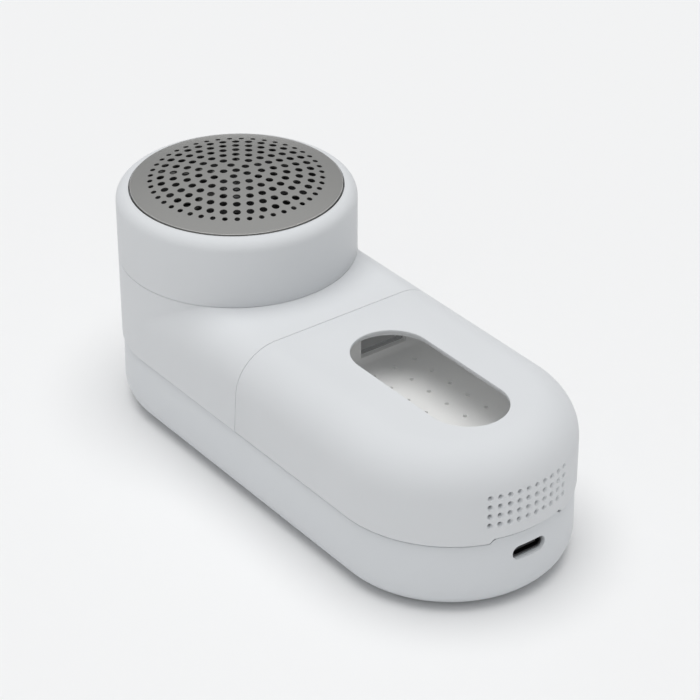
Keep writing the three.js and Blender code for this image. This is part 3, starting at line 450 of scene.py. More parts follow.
CIRCUIT_LAMINATE, graph, where = begin_material("circuit laminate")
weave = graph.node("ShaderNodeTexWave", {"bands_direction": "X"}, {"Vector": where, "Scale": 900.0})
cross = graph.node("ShaderNodeTexWave", {"bands_direction": "Y"}, {"Vector": where, "Scale": 900.0})
threads = weave.combine("MULTIPLY", weave, cross)
surface(graph, {
    "Base Color": mixed(graph, threads, (0.012, 0.09, 0.04), (0.02, 0.14, 0.07)),
    "Roughness": 0.35 + noise(graph, where, 2) * 0.15,
    "Normal": bump(graph, threads, 0.15, 0.03),
})


def cable_sleeve(name, pale, shade):
    return moulded(name, pale, shade, 0.42, 0.6, 0.05)


LEAD_RED = cable_sleeve("red cable sleeve", (0.5, 0.03, 0.025), (0.42, 0.02, 0.018))
LEAD_BLACK = cable_sleeve("black cable sleeve", (0.025, 0.025, 0.027), (0.018, 0.018, 0.02))
print(len(bpy.data.materials), "materials in all")

# %% [markdown]
# ## The base
# The lower shell is a tub whose plan has two straight sides and two round ends. Its sides draw in a
# little towards the seam, and its lower edge is a quarter round, made by a superellipse whose power is one.
# We skin it through level outlines, hollow it, and only then cut the
# charging port, the screw wells and the slot of the slide switch.


# %% Outlines of the body
END_STEPS = 56


def stadium(radius, z, steps=END_STEPS, head=HEAD_X, tail=TAIL_X):
    points = []
    for x, start in ((tail, -math.pi / 2), (head, math.pi / 2)):
        for i in range(steps + 1):
            a = start + math.pi * i / steps
            points.append((x + radius * math.cos(a), radius * math.sin(a), z))
    return points


BASE_FOOT_RADIUS = 29.75
BASE_SEAM_RADIUS = 29.55
FOOT_HEIGHT = 7.2
FOOT_REACH = 7.2
FOOT_POWER = 1
BASE_WALL = 2.2


def foot_rings(inset, steps=16):
    """Rings up the rounded foot, from the resting face to the upright side."""
    rings = []
    for i in range(steps + 1):
        a = math.pi / 2 * (1 - i / steps)
        reach = (FOOT_REACH - inset) * math.cos(a) ** FOOT_POWER
        rise = (FOOT_HEIGHT - inset) * math.sin(a) ** FOOT_POWER
        rings.append(stadium(BASE_FOOT_RADIUS - FOOT_REACH + reach, FOOT_HEIGHT - rise))
    return rings


SEAM_EDGE = 0.25
foot = foot_rings(0)
seam_rings = [
    stadium(BASE_SEAM_RADIUS - SEAM_EDGE * (1 - math.cos(a)), BASE_TOP - SEAM_EDGE * (1 - math.sin(a)))
    for a in (0, math.pi / 6, math.pi / 3, math.pi / 2)
]
base = skin("base_finish", foot + seam_rings)
tub_top = BASE_TOP + 2
base_hollow = skin("hollow", foot_rings(BASE_WALL) + [stadium(BASE_SEAM_RADIUS - BASE_WALL, tub_top)])
shape_with(base, [base_hollow])
print("base", [round(v / MM, 2) for v in base.dimensions])

# %% [markdown]
# ### The finger notch
# At the tail the bin cover's lower edge steps up by a little over a millimetre, and the base rises to
# fill the step, so a fingernail finds the edge. One helper makes the curved block for both: it follows
# the tail's round end, and its top slopes down at both sides.

# %% Finger notch
NOTCH_RISE = base_high.z - BASE_TOP
NOTCH_ANGLE = 21
NOTCH_RAMP = 3


def notch_block(name, inner, outer, low, top, widen=0.0, steps=40):
    """A block round the tail from low up to the seam, and by top more within the notch."""
    rings = []
    half = NOTCH_ANGLE + 8
    for i in range(steps + 1):
        degrees = -half + 2 * half * i / steps
        ramp = (NOTCH_ANGLE + widen - abs(degrees)) / NOTCH_RAMP
        z = low[1] + top * min(max(ramp, 0), 1)
        a = math.radians(degrees)
        corners = ((inner, low[0]), (outer, low[0]), (outer, z), (inner, z))
        rings.append([(TAIL_X + r * math.cos(a), r * math.sin(a), h) for r, h in corners])
    return skin(name, rings)


lip = notch_block("lip", BASE_SEAM_RADIUS - 2.1, BASE_SEAM_RADIUS - 0.03,
                  (BASE_TOP - 2, BASE_TOP - 0.4), NOTCH_RISE + 0.15)
shape_with(base, [lip], "UNION")
print("notch rise", round(NOTCH_RISE, 2))

# %% [markdown]
# ### Inside and under the base
# Screw wells, the motor's cradle and the battery's tub stand on the floor of the tub. The wells are
# counterbored from below, and each mouth is slightly flared, as a moulding tool leaves it. The flare is
# part of the cutting tool, so no edge has to be bevelled afterwards.

# %% Bosses, wells, slot and port
screw_places = [span("housing_screw_" + str(i)) for i in range(1, 5)]
deck_places = [span("deck_screw_" + str(i)) for i in range(1, 5)]
deck_low = span("deck_plate")[0].z
FLOOR = BASE_WALL - 0.5
DECK_BOSS_FOOT = 4.4


def middle(pair):
    return (pair[0].x + pair[1].x) / 2, (pair[0].y + pair[1].y) / 2


def well(x, y):
    """The tool for a screw well: a flared mouth, a counterbore and a hole for the shank."""
    return turned("well", [(0, -0.5), (3.15, -0.5), (3.15, 0), (2.8, 0.35), (2.8, 6), (1.4, 6),
                           (1.4, tub_top), (0, tub_top)], x, y, 40)


added = []
for place in screw_places:
    added.append(rod("boss", *middle(place), 3.7, FLOOR, deck_low, 32))
for place in deck_places:
    added.append(rod("boss", *middle(place), 3.3, DECK_BOSS_FOOT, deck_low - 0.3, 32))
shape_with(base, added, "UNION")

can_low, can_high = span("motor_can")
cell_low, cell_high = span("battery_cell")
can_radius = (can_high.x - can_low.x) / 2
cradle = sleeve("cradle", can_radius + 0.6, can_radius + 2.4, FLOOR, can_low.z + 2.6, 64)
wire_gap = block("gap", HEAD_X, HEAD_X + can_radius + 8, -6, 6, cell_high.z - 3, BASE_TOP)
shape_with(cradle, [wire_gap])
rim, room = 1.2, 0.3
tub = block("tub", cell_low.x - room - rim, cell_high.x + room + rim, cell_low.y - room - rim,
            cell_high.y + room + rim, FLOOR, cell_low.z + 3)
tub_bore = block("bore", cell_low.x - room, cell_high.x + room, cell_low.y - room, cell_high.y + room,
                 FLOOR + 0.2, BASE_TOP)
shape_with(tub, [tub_bore])
shape_with(base, [cradle, tub], "UNION")

knob_low, knob_high = span("slide_switch_knob")
body_low, body_high = span("slide_switch_body")
SLOT_FRONT, SLOT_REAR = body_low.x + 0.2, body_high.x - 0.2
SLOT_HALF = 3.1


def slot_ring(grow, z):
    radius = 1.2 + grow
    corners = ((SLOT_REAR, 1, -90), (SLOT_REAR, 1, 0), (SLOT_FRONT, -1, 90), (SLOT_FRONT, -1, 180))
    points = []
    for x, side, start in corners:
        y = SLOT_HALF - 1.2 if start in (0, 90) else 1.2 - SLOT_HALF
        for i in range(7):
            a = math.radians(start + 15 * i)
            points.append((x - side * 1.2 + radius * math.cos(a), y + radius * math.sin(a), z))
    return points


slot_tool = skin("slot", [slot_ring(1.0, -0.5), slot_ring(1.0, 0), slot_ring(0.3, 0.3),
                          slot_ring(0, 0.8), slot_ring(0, BASE_WALL + 0.4)])
deck_pilots = [rod("pilot", *middle(place), 1.2, FLOOR + 2, deck_low, 24) for place in deck_places]
shape_with(base, [well(*middle(place)) for place in screw_places] + deck_pilots + [slot_tool])

socket_low, socket_high = span("usb_socket")
PORT_Z = (socket_low.z + socket_high.z) / 2
PORT_HALF = 4.7
PORT_ROUND = 1.7


def port_ring(x, grow):
    radius = PORT_ROUND + grow
    points = []
    for y, start in ((PORT_HALF - PORT_ROUND, -90), (PORT_ROUND - PORT_HALF, 90)):
        for i in range(17):
            a = math.radians(start + 180 * i / 16)
            points.append((x, y + radius * math.cos(a), PORT_Z + radius * math.sin(a)))
    return points


port_face = TAIL_X + BASE_SEAM_RADIUS + 0.2
port_tool = skin("port", [
    port_ring(TAIL_X + 20, 0), port_ring(port_face - 1.0, 0), port_ring(port_face - 0.5, 0.1),
    port_ring(port_face, 0.3), port_ring(port_face + 1, 0.7),
])
shape_with(base, [port_tool])
smooth(base)
hand_over(base, BASE_SHELL, "housing", "base_shell", "base_shell")

# %% [markdown]
# ## The neck
# Under the round head a straight column meets the rounded shoulder of the body, and a concave blend runs
# between them without a crease. At any height the plan has three parts: the column's circle, a hollow
# arc that touches it, and the straight side. As the shoulder draws in, the arc moves out along the side.
# The arc's centre follows from the two touching conditions, so the surface is exact at every level.

# %% Neck outlines
BLEND = 9.5
ARC_STEPS = 20
CIRCLE_STEPS = 56


def neck_ring(z, side, column, end, blend=BLEND):
    """The neck's plan at a height: side is the body's half width there, column the head's radius."""
    side = min(side, column)
    centre_x = math.sqrt(max((column + blend) ** 2 - (side + blend) ** 2, 0))
    centre_y = side + blend
    touch = math.atan2(centre_y, centre_x)
    half = [(end - HEAD_X, side)]
    for i in range(ARC_STEPS + 1):
        a = -math.pi / 2 - (math.pi / 2 - touch) * i / ARC_STEPS
        half.append((centre_x + blend * math.cos(a), centre_y + blend * math.sin(a)))
    for i in range(1, CIRCLE_STEPS + 1):
        a = touch + (math.pi - touch) * i / CIRCLE_STEPS
        half.append((column * math.cos(a), column * math.sin(a)))
    whole = half + [(x, -y) for x, y in half[-2::-1]]
    return [(HEAD_X + x, y, z) for x, y in whole]


def shoulder_levels(inset, low, edge, steps=26):
    """(height, half width, rim inset) up the side and over the round shoulder."""
    levels = []
    for i in range(5):
        a = math.pi / 2 * i / 4
        levels.append((low + edge * (1 - math.sin(a)), RADIUS - inset, edge * (1 - math.cos(a))))
    levels = [(z, side - rim, rim) for z, side, rim in reversed(levels)]
    start = BODY_TOP - SHOULDER
    for i in range(steps + 1):
        a = math.pi / 2 * i / steps
        round_edge = SHOULDER - inset
        levels.append((start + round_edge * math.sin(a), RADIUS - inset - round_edge * (1 - math.cos(a)), 0))
    return levels


COLUMN_EDGE = 0.38


def neck_solid(name, inset, low, end_offset, edge):
    rings = []
    for z, side, rim in shoulder_levels(inset, low, edge):
        top_rim = max(z - (BODY_TOP - inset - COLUMN_EDGE), 0) / COLUMN_EDGE
        lift = COLUMN_EDGE * (1 - math.sqrt(max(1 - top_rim ** 2, 0)))
        rings.append(neck_ring(z, side, RADIUS - inset - max(rim, lift), seam_x(z, end_offset)))
    return skin(name, rings)


neck = neck_solid("neck_finish", 0, UPPER_LOW, -SEEN_GAP / 2, 0.3)
print("neck", [round(v / MM, 2) for v in neck.dimensions])

# %% [markdown]
# ### Softening the seam
# The end of the neck is a flat face that leans towards the tail. Its border is selected by the faces'
# directions and bevelled by a quarter of a millimetre, which is what makes the thin seam line read.


# %% Soft border of the seam
def soften_seam(piece, facing, width=0.16):
    bm = bmesh.new()
    bm.from_mesh(piece.data)
    wall = Vector((facing, 0, 0))
    border = []
    for edge in bm.edges:
        if len(edge.link_faces) == 2:
            flat = [face.normal.dot(wall) > 0.99 for face in edge.link_faces]
            if flat[0] != flat[1]:
                border.append(edge)
    bmesh.ops.bevel(bm, geom=border, offset=width * MM, segments=2, profile=0.5, affect="EDGES")
    bm.to_mesh(piece.data)
    bm.free()
    return len(border)


print("seam edges softened:", soften_seam(neck, 1))

well_low, well_high = span("cutter_well")
duct_low, duct_high = span("lint_duct")
neck_hollow = skin("hollow", [
    [(x, y, z) for x, y, _ in neck_ring(z, side, RADIUS - WALL, seam_x(z, -WALL - SEAM_GAP / 2))]
    for z, side, _ in [(UPPER_LOW - 1, RADIUS - WALL, 0)] + shoulder_levels(WALL, UPPER_LOW, 0)[4:]
])
head_bore = rod("bore", HEAD_X, 0, RADIUS - WALL, UPPER_LOW + 2, BODY_TOP + 1, 128)
duct_gap = 0.3
duct_hole = block("duct hole", neck_high.x - 8, neck_high.x + 6, duct_low.y - duct_gap,
                  duct_high.y + duct_gap, duct_low.z - duct_gap, BODY_TOP - WALL - 0.4)
shape_with(neck, [neck_hollow, head_bore, duct_hole])

ledge = sleeve("ledge", RADIUS - WALL - 2.6, RADIUS - WALL + 0.5, BODY_TOP - 4, BODY_TOP - 2.2, 96)
shape_with(ledge, [block("gap", HEAD_X + 13.2, 0, -RADIUS, RADIUS, 0, BODY_TOP)])
bosses = []
for place in screw_places:
    x, y = middle(place)
    half_x = math.copysign(1, y) * math.sqrt((RADIUS - WALL) ** 2 - (x - HEAD_X) ** 2)
    boss = rod("boss", x, y, 3.3, UPPER_LOW, UPPER_LOW + 12, 32)
    near, far = sorted((y, half_x + math.copysign(0.8, y)))
    shape_with(boss, [block("rib", x - 0.8, x + 0.8, near, far, UPPER_LOW, UPPER_LOW + 12)], "UNION")
    shape_with(boss, [rod("pilot", x, y, 1.4, UPPER_LOW - 1, UPPER_LOW + 11, 24)])
    bosses.append(boss)
switch_low = span("interlock_switch")[0]
shelf = block("shelf", HEAD_X - RADIUS + WALL - 0.3, HEAD_X - RADIUS + WALL + 3.9, -3.8, 3.8,
              switch_low.z - 1.6, switch_low.z - 0.3)
shape_with(neck, [ledge, shelf] + bosses, "UNION")
pin_low, pin_high = span("interlock_pin")
pin_x = (pin_low.x + pin_high.x) / 2
shape_with(neck, [rod("pin hole", pin_x, 0, 1.55, switch_low.z, BODY_TOP, 24)])
smooth(neck)
hand_over(neck, WHITE_SHELL, "housing", "white_shell", "neck_shell")

# %% [markdown]
# ## The bin cover
# The cover carries on the body's side and shoulder round the tail. It's skinned the same way, but its
# plan is a half stadium that starts at the leaning seam. Its window opening is a stepped stadium: a wide
# upper step for the lens and a narrower lower one, which leaves the ledge that the lens is welded to.

# %% Bin cover
COVER_STEPS = 72


def cover_ring(z, side, end):
    points = [(end, -side, z)]
    for i in range(COVER_STEPS + 1):
        a = math.pi * i / COVER_STEPS - math.pi / 2
        points.append((TAIL_X + side * math.cos(a), side * math.sin(a), z))
    return points + [(end, side, z)]


def cover_solid(name, inset, low, offset, edge):
    levels = shoulder_levels(inset, low, edge)
    return skin(name, [cover_ring(z, side, seam_x(z, offset)) for z, side, _ in levels])


cover = cover_solid("cover_finish", 0, UPPER_LOW, SEEN_GAP / 2, 0.45)
print("seam edges softened:", soften_seam(cover, -1))
cover_hollow = skin("hollow", [cover_ring(z, side, -12) for z, side, _ in
                               [(UPPER_LOW - 1, RADIUS - WALL, 0)] + shoulder_levels(WALL, UPPER_LOW, 0)[4:]])

window_low, window_high = span("bin_window")
WINDOW_FIT = 0.08
WINDOW_POCKET = 0.9
WINDOW_EDGE = 0.65
window_half = window_high.y + 0.3


def window_ring(inset, z, steps=32):
    radius = window_half - inset
    front, rear = window_low.x - 0.3 + window_half, window_high.x + 0.3 - window_half
    return stadium(radius, z, steps, front, rear)


opening = skin("opening", [
    window_ring(-1.2, BODY_TOP - WALL - 1), window_ring(-WINDOW_POCKET, BODY_TOP - WALL + 0.1),
    window_ring(-WINDOW_POCKET, BODY_TOP - WINDOW_EDGE), window_ring(0.12, BODY_TOP - WINDOW_EDGE + 0.01),
    window_ring(0.12, BODY_TOP - 0.12), window_ring(0.0, BODY_TOP), window_ring(0.0, BODY_TOP + 1),
])
notch = notch_block("notch", RADIUS - 8, RADIUS + 4, (UPPER_LOW - 3, UPPER_LOW - 0.3), NOTCH_RISE + 0.3, 0.8)
shape_with(cover, [cover_hollow, opening, notch])
print("cover", [round(v / MM, 2) for v in cover.dimensions])

# %% [markdown]
# ### Vents
# Forty small dished holes let the motor's air out of the bin. They follow a rule, so Geometry Nodes
# places them: a flat grid is wrapped round the tail's axis, each point carries a turned punch, and the
# whole set is cut from the cover at once. The punch flares at the surface, which makes the soft dish.


# %% Tools for trees of geometry nodes
def geometry_graph(name, inputs):
    """An empty tree with a Geometry input and named number inputs; returns the graph and its inputs."""
    tree = bpy.data.node_groups.new(name, "GeometryNodeTree")
    tree.interface.new_socket("Geometry", in_out="INPUT", socket_type="NodeSocketGeometry")
    for label, (kind, value) in inputs.items():
        socket = tree.interface.new_socket(label, in_out="INPUT", socket_type="NodeSocket" + kind)
        if kind != "Object":
            socket.default_value = value
    tree.interface.new_socket("Geometry", in_out="OUTPUT", socket_type="NodeSocketGeometry")
    graph = Graph(tree)
    entry = tree.nodes.new("NodeGroupInput")
    given = {label: Value(graph, socket_of(entry.outputs, label)) for label in ["Geometry", *inputs]}
    return graph, given


def end_tree(graph, made, finish):
    """Every tree ends in plain geometry with its material set."""
    plain = graph.node("GeometryNodeRealizeInstances", None, {"Geometry": made})
    painted = graph.node("GeometryNodeSetMaterial", None, {"Geometry": plain, "Material": finish})
    graph.node("NodeGroupOutput", None, {0: painted})


def grow(piece, graph, values):
    """Runs the tree on the piece with these inputs and keeps the result as a plain mesh."""
    modifier = piece.modifiers.new(graph.tree.name, "NODES")
    modifier.node_group = graph.tree
    for item in graph.tree.interface.items_tree:
        if item.item_type == "SOCKET" and item.in_out == "INPUT" and item.name in values:
            modifier[item.identifier] = values[item.name]
    return freeze(piece)


def cut_in_tree(graph, body, tools):
    return graph.node("GeometryNodeMeshBoolean", {"operation": "DIFFERENCE", "solver": "MANIFOLD"},
                      {"Mesh 1": body, "Mesh 2": tools})


def instances(graph, points, item, rotation=(0.0, 0.0, 0.0)):
    placed = graph.node("GeometryNodeInstanceOnPoints", None,
                        {"Points": points, "Instance": item, "Rotation": rotation})
    return graph.node("GeometryNodeRealizeInstances", None, {"Geometry": placed})


def tool_object(graph, given, label):
    return graph.node("GeometryNodeObjectInfo", None, {"Object": given[label]}, "Geometry")


# %% Vent holes
VENT_PITCH = 2.45
VENT_COLUMNS, VENT_ROWS = 10, 4
VENT_TOP = BODY_TOP - 10
VENT_RADIUS = 0.42
DISH_RADIUS = 0.8

punch = turned("punch", [(0, -4), (VENT_RADIUS, -4), (VENT_RADIUS, -0.6), (0.5, -0.42), (0.62, -0.22),
                         (DISH_RADIUS, -0.03), (DISH_RADIUS + 0.05, 0.4), (0, 0.4)], 0, 0, 20)

graph, given = geometry_graph("vents", {
    "Punch": ("Object", None), "Columns": ("Int", 2), "Rows": ("Int", 2), "Pitch": ("Float", 1.0),
    "Radius": ("Float", 1.0), "Top": ("Float", 1.0), "Axis X": ("Float", 0.0),
})
grid = graph.node("GeometryNodeMeshGrid", None, {
    "Size X": (given["Columns"] - 1) * given["Pitch"], "Size Y": (given["Rows"] - 1) * given["Pitch"],
    "Vertices X": given["Columns"], "Vertices Y": given["Rows"],
})
flat = graph.node("GeometryNodeInputPosition")
across = graph.node("ShaderNodeSeparateXYZ", None, {0: flat}, "X")
along = graph.node("ShaderNodeSeparateXYZ", None, {0: flat}, "Y")
turn = across / given["Radius"]
cosine = turn.combine("COSINE", turn, 0.0)
sine = turn.combine("SINE", turn, 0.0)
height = given["Top"] + along - (given["Rows"] - 1) * given["Pitch"] * 0.5
wrapped = graph.node("ShaderNodeCombineXYZ", None, {
    "X": given["Axis X"] + given["Radius"] * cosine, "Y": given["Radius"] * sine, "Z": height,
})
points = graph.node("GeometryNodeSetPosition", None, {"Geometry": grid, "Position": wrapped})
axis_x = graph.node("ShaderNodeSeparateXYZ", None, {0: graph.node("GeometryNodeInputPosition")}, "X")
axis_y = graph.node("ShaderNodeSeparateXYZ", None, {0: graph.node("GeometryNodeInputPosition")}, "Y")
facing = axis_y.combine("ARCTAN2", axis_y, axis_x - given["Axis X"])
aim = graph.node("ShaderNodeCombineXYZ", None, {"Y": math.pi / 2, "Z": facing})
punches = instances(graph, points, tool_object(graph, given, "Punch"), aim)
end_tree(graph, cut_in_tree(graph, given["Geometry"], punches), WHITE_SHELL)
grow(cover, graph, {
    "Punch": punch, "Columns": VENT_COLUMNS, "Rows": VENT_ROWS, "Pitch": VENT_PITCH * MM,
    "Radius": RADIUS * MM, "Top": VENT_TOP * MM, "Axis X": TAIL_X * MM,
})
bpy.data.objects.remove(punch)
smooth(cover)
hand_over(cover, WHITE_SHELL, "bin", "white_shell", "bin_cover")

# %% [markdown]
# ## The window
# A clear stadium-shaped lens lies flush in its opening. Its flange is welded under the edge, so only a
# thin rim of the cover shows round it.

# %% Window lens
LENS_EDGE = 0.1
lens_gap = 0.12 + WINDOW_FIT
lens_flange = WINDOW_FIT - WINDOW_POCKET
lens = skin("window_finish", [
    window_ring(lens_flange + LENS_EDGE, window_low.z), window_ring(lens_flange, window_low.z + LENS_EDGE),
    window_ring(lens_flange, BODY_TOP - WINDOW_EDGE - WINDOW_FIT),
    window_ring(lens_gap, BODY_TOP - WINDOW_EDGE - WINDOW_FIT + 0.01),
    window_ring(lens_gap, BODY_TOP - LENS_EDGE), window_ring(lens_gap + LENS_EDGE, BODY_TOP),
])
smooth(lens)
hand_over(lens, CLEAR_LENS, "bin", "clear_lens", "bin_window")

# %% [markdown]
# ## The lint bin
# Through the window the bin's pale floor shows, with its grid of drain dots. The tray is two nested half
# stadiums: an outer wall and a cavity whose floor meets the wall in a soft radius. The front wall has two
# inlets either side of a post, above a low sill.

# %% Tray
tray_low, tray_high = span("bin_tray")
TRAY_RADIUS = tray_high.y
TRAY_WALL = 1.5
TRAY_FLOOR = BODY_TOP - 13.5
TRAY_FRONT = tray_low.x
CORNER = 1.6


def tray_ring(radius, z, front, corner=1.0, steps=40):
    points = []
    for i in range(steps + 1):
        a = math.pi * i / steps - math.pi / 2
        points.append((TAIL_X + radius * math.cos(a), radius * math.sin(a), z))
    for side, start in ((1, 90), (-1, 180)):
        for i in range(7):
            a = math.radians(start + 15 * i)
            points.append((front + corner * (1 + math.cos(a)),
                           side * (radius - corner) + corner * math.sin(a), z))
    return points


def round_floor(radius, front, floor, top, corner):
    """A cavity whose floor curves up into its walls."""
    rings = []
    for i in range(7):
        a = math.pi / 2 * i / 6
        inset = corner * (1 - math.sin(a))
        rings.append(tray_ring(radius - inset, floor + corner * (1 - math.cos(a)), front + inset, 2.0))
    return rings + [tray_ring(radius, top, front, 2.0)]


tray = skin("tray_finish", [
    tray_ring(TRAY_RADIUS, tray_low.z, TRAY_FRONT), tray_ring(TRAY_RADIUS, tray_high.z - 0.4, TRAY_FRONT),
    tray_ring(TRAY_RADIUS - 0.12, tray_high.z - 0.12, TRAY_FRONT + 0.12),
    tray_ring(TRAY_RADIUS - 0.4, tray_high.z, TRAY_FRONT + 0.4),
])
inner = TRAY_RADIUS - TRAY_WALL
cavity = skin("cavity", round_floor(inner, TRAY_FRONT + TRAY_WALL, TRAY_FLOOR, tray_high.z + 1, CORNER))
under = skin("under", [tray_ring(inner, z, TRAY_FRONT + TRAY_WALL, 2.0)
                       for z in (tray_low.z - 1, TRAY_FLOOR - TRAY_WALL)])
tail_gap = block("gap", TAIL_X, tray_high.x + 1, -12, 12, tray_low.z - 1, TRAY_FLOOR - TRAY_WALL)
POST_HALF = 4.4
inlet_far = duct_high.y - 1.6
SILL = 1.3
inlets = [block("inlet", TRAY_FRONT - 1, TRAY_FRONT + 3, *sorted((side * POST_HALF, side * inlet_far)),
                TRAY_FLOOR + SILL, tray_high.z + 1) for side in (-1, 1)]
RAIL_Y, RAIL_ROOM = 17.6, 1.2
rail_top = span("deck_plate")[1].z + 0.4
rail_notches = [block("rail notch", TRAY_FRONT - 1, TRAY_FRONT + 3, side * RAIL_Y - RAIL_ROOM,
                      side * RAIL_Y + RAIL_ROOM, tray_low.z - 1, rail_top) for side in (-1, 1)]
shape_with(tray, [cavity, under, tail_gap] + inlets + rail_notches)
print("tray", [round(v / MM, 2) for v in tray.dimensions])

# %% [markdown]
# ### Drain dots
# The dots are a plain grid of small flared holes. The tree makes the grid, deletes the points that would
# fall outside the round end, and cuts what is left.

# %% Dots in the bin's floor
DOT_X, DOT_Y = 6.75, 6.4
DOT_ROWS, DOT_COLUMNS = 8, 6
dot_start = TRAY_FRONT + TRAY_WALL + DOT_X - 0.25
drill = turned("drill", [(0, -3), (0.52, -3), (0.52, -0.12), (0.6, 0.02), (0.64, 0.5), (0, 0.5)], 0, 0, 16)
graph, given = geometry_graph("drain dots", {
    "Drill": ("Object", None), "Rows": ("Int", 2), "Columns": ("Int", 2), "Row pitch": ("Float", 1.0),
    "Column pitch": ("Float", 1.0), "Start": ("Float", 0.0), "Floor": ("Float", 0.0),
    "Tail axis": ("Float", 0.0), "Reach": ("Float", 1.0),
})
length = (given["Rows"] - 1) * given["Row pitch"]
grid = graph.node("GeometryNodeMeshGrid", None, {
    "Size X": length, "Size Y": (given["Columns"] - 1) * given["Column pitch"],
    "Vertices X": given["Rows"], "Vertices Y": given["Columns"],
})
shift = graph.node("ShaderNodeCombineXYZ", None, {"X": given["Start"] + length * 0.5, "Z": given["Floor"]})
placed = graph.node("GeometryNodeSetPosition", None, {"Geometry": grid, "Offset": shift})
spot = graph.node("GeometryNodeInputPosition")
spot_x = graph.node("ShaderNodeSeparateXYZ", None, {0: spot}, "X") - given["Tail axis"]
spot_y = graph.node("ShaderNodeSeparateXYZ", None, {0: spot}, "Y")
past = spot_x.combine("MAXIMUM", spot_x, 0.0)
far = (past * past + spot_y * spot_y) > given["Reach"] * given["Reach"]
kept = graph.node("GeometryNodeDeleteGeometry", {"domain": "POINT"}, {"Geometry": placed, "Selection": far})
drills = instances(graph, kept, tool_object(graph, given, "Drill"))
end_tree(graph, cut_in_tree(graph, given["Geometry"], drills), TRAY_PLASTIC)
grow(tray, graph, {
    "Drill": drill, "Rows": DOT_ROWS, "Columns": DOT_COLUMNS, "Row pitch": DOT_X * MM,
    "Column pitch": DOT_Y * MM, "Start": dot_start * MM, "Floor": TRAY_FLOOR * MM,
    "Tail axis": TAIL_X * MM, "Reach": (inner - 3) * MM,
})
bpy.data.objects.remove(drill)
smooth(tray)
hand_over(tray, TRAY_PLASTIC, "bin", "tray_plastic", "bin_tray")

# %% [markdown]
# ## The guard ring
# The white ring round the foil is a turned piece. Its outer top edge is a generous round and its inner
# edge a small one, which catches a thin bright line beside the steel.

# %% Guard ring
foil_low, foil_high = span("foil")
FOIL_RADIUS = (foil_high.x - foil_low.x) / 2
RING_TOP, RING_LOW = ring_high.z, BODY_TOP + 0.08
RING_FILLET = 3.2
bore_radius = FOIL_RADIUS + 0.3
grip_radius = 26.0
profile = rounded(RADIUS, RING_LOW, -1, 1, 0.06, 2)
profile += rounded(RADIUS, RING_TOP, -1, -1, RING_FILLET, 18)[::-1]
profile += rounded(bore_radius, RING_TOP, 1, -1, 0.35, 6)
profile += [(bore_radius, foil_low.z - 0.3), (grip_radius, foil_low.z - 0.3), (grip_radius, RING_LOW)]
ring = turned("ring_finish", profile, sides=160)
smooth(ring)
hand_over(ring, WHITE_SHELL, "guard", "white_shell", "guard_ring")

# %% [markdown]
# ## The foil
# The cutting foil is a shallow dome of thin steel with a turned-down rim. Its holes lie in rings about
# the middle, and the outermost ring is smaller. Each ring is a circle of points in one small group of
# nodes, which the tree uses once for every ring, and all the punches cut the sheet together.

# %% Foil sheet
RIM_Z = RING_TOP + 0.55
FOIL_SHEET = 0.35
FOIL_RISE = foil_high.z - RIM_Z
dome_radius = (FOIL_RADIUS ** 2 + FOIL_RISE ** 2) / (2 * FOIL_RISE)


def dome(r, drop=0.0):
    return foil_high.z - drop - dome_radius + math.sqrt(dome_radius ** 2 - r ** 2)


SHEET_STEPS = 26
RIM_EDGE = 0.3
top_face = [((FOIL_RADIUS - RIM_EDGE) * i / SHEET_STEPS, 0) for i in range(SHEET_STEPS + 1)]
top_face = [(r, dome(r)) for r, _ in top_face]
edge_z = top_face[-1][1]
bend = [(FOIL_RADIUS - RIM_EDGE * (1 - math.sin(a)), edge_z - RIM_EDGE * (1 - math.cos(a)))
        for a in (math.pi / 6, math.pi / 3, math.pi / 2)]
SKIRT_STEP = 0.3
skirt_radius = FOIL_RADIUS - SKIRT_STEP
under_reach = skirt_radius - FOIL_SHEET
under_face = [(under_reach * i / SHEET_STEPS, dome(under_reach * i / SHEET_STEPS, FOIL_SHEET))
              for i in range(SHEET_STEPS, -1, -1)]
skirt = [(FOIL_RADIUS, edge_z - 0.45), (skirt_radius, edge_z - 0.5), (skirt_radius, foil_low.z),
         (under_reach, foil_low.z)]
foil = turned("foil_finish", top_face + bend + skirt + under_face, sides=160)

ring_group = bpy.data.node_groups.new("ring of holes", "GeometryNodeTree")
for label, kind in (("Count", "Int"), ("Radius", "Float"), ("Turn", "Float"), ("Hole", "Float"),
                    ("Axis X", "Float"), ("Height", "Float")):
    ring_group.interface.new_socket(label, in_out="INPUT", socket_type="NodeSocket" + kind)
ring_group.interface.new_socket("Geometry", in_out="OUTPUT", socket_type="NodeSocketGeometry")
inside = Graph(ring_group)
entry = ring_group.nodes.new("NodeGroupInput")
given = {socket.name: Value(inside, socket) for socket in entry.outputs if socket.name}
circle = inside.node("GeometryNodeMeshCircle", None, {"Vertices": given["Count"], "Radius": given["Radius"]})
axis = inside.node("ShaderNodeCombineXYZ", None, {"X": given["Axis X"], "Z": given["Height"]})
spin = inside.node("ShaderNodeCombineXYZ", None, {"Z": given["Turn"]})
seated = inside.node("GeometryNodeTransform", None,
                     {"Geometry": circle, "Translation": axis, "Rotation": spin})
hole = inside.node("GeometryNodeMeshCylinder", None,
                   {"Vertices": 20, "Radius": given["Hole"], "Depth": 12 * MM}, "Mesh")
inside.node("NodeGroupOutput", None, {0: instances(inside, seated, hole)})
print("foil", round(FOIL_RISE, 2), "mm high dome")

# %% [markdown]
# ### Punching the foil
# The rings are listed from the middle outwards as their number of holes and how far each ring is turned.

# %% Foil holes
HOLE_RINGS = [(5, 25.4), (12, 25.6), (18, 5.6), (24, 10.5), (30, 1.5), (36, 5.5), (45, 5.6)]
RING_PITCH = 3.12
EDGE_RING = 21.34
HOLE_RADIUS, EDGE_HOLE_RADIUS = 0.965, 0.685

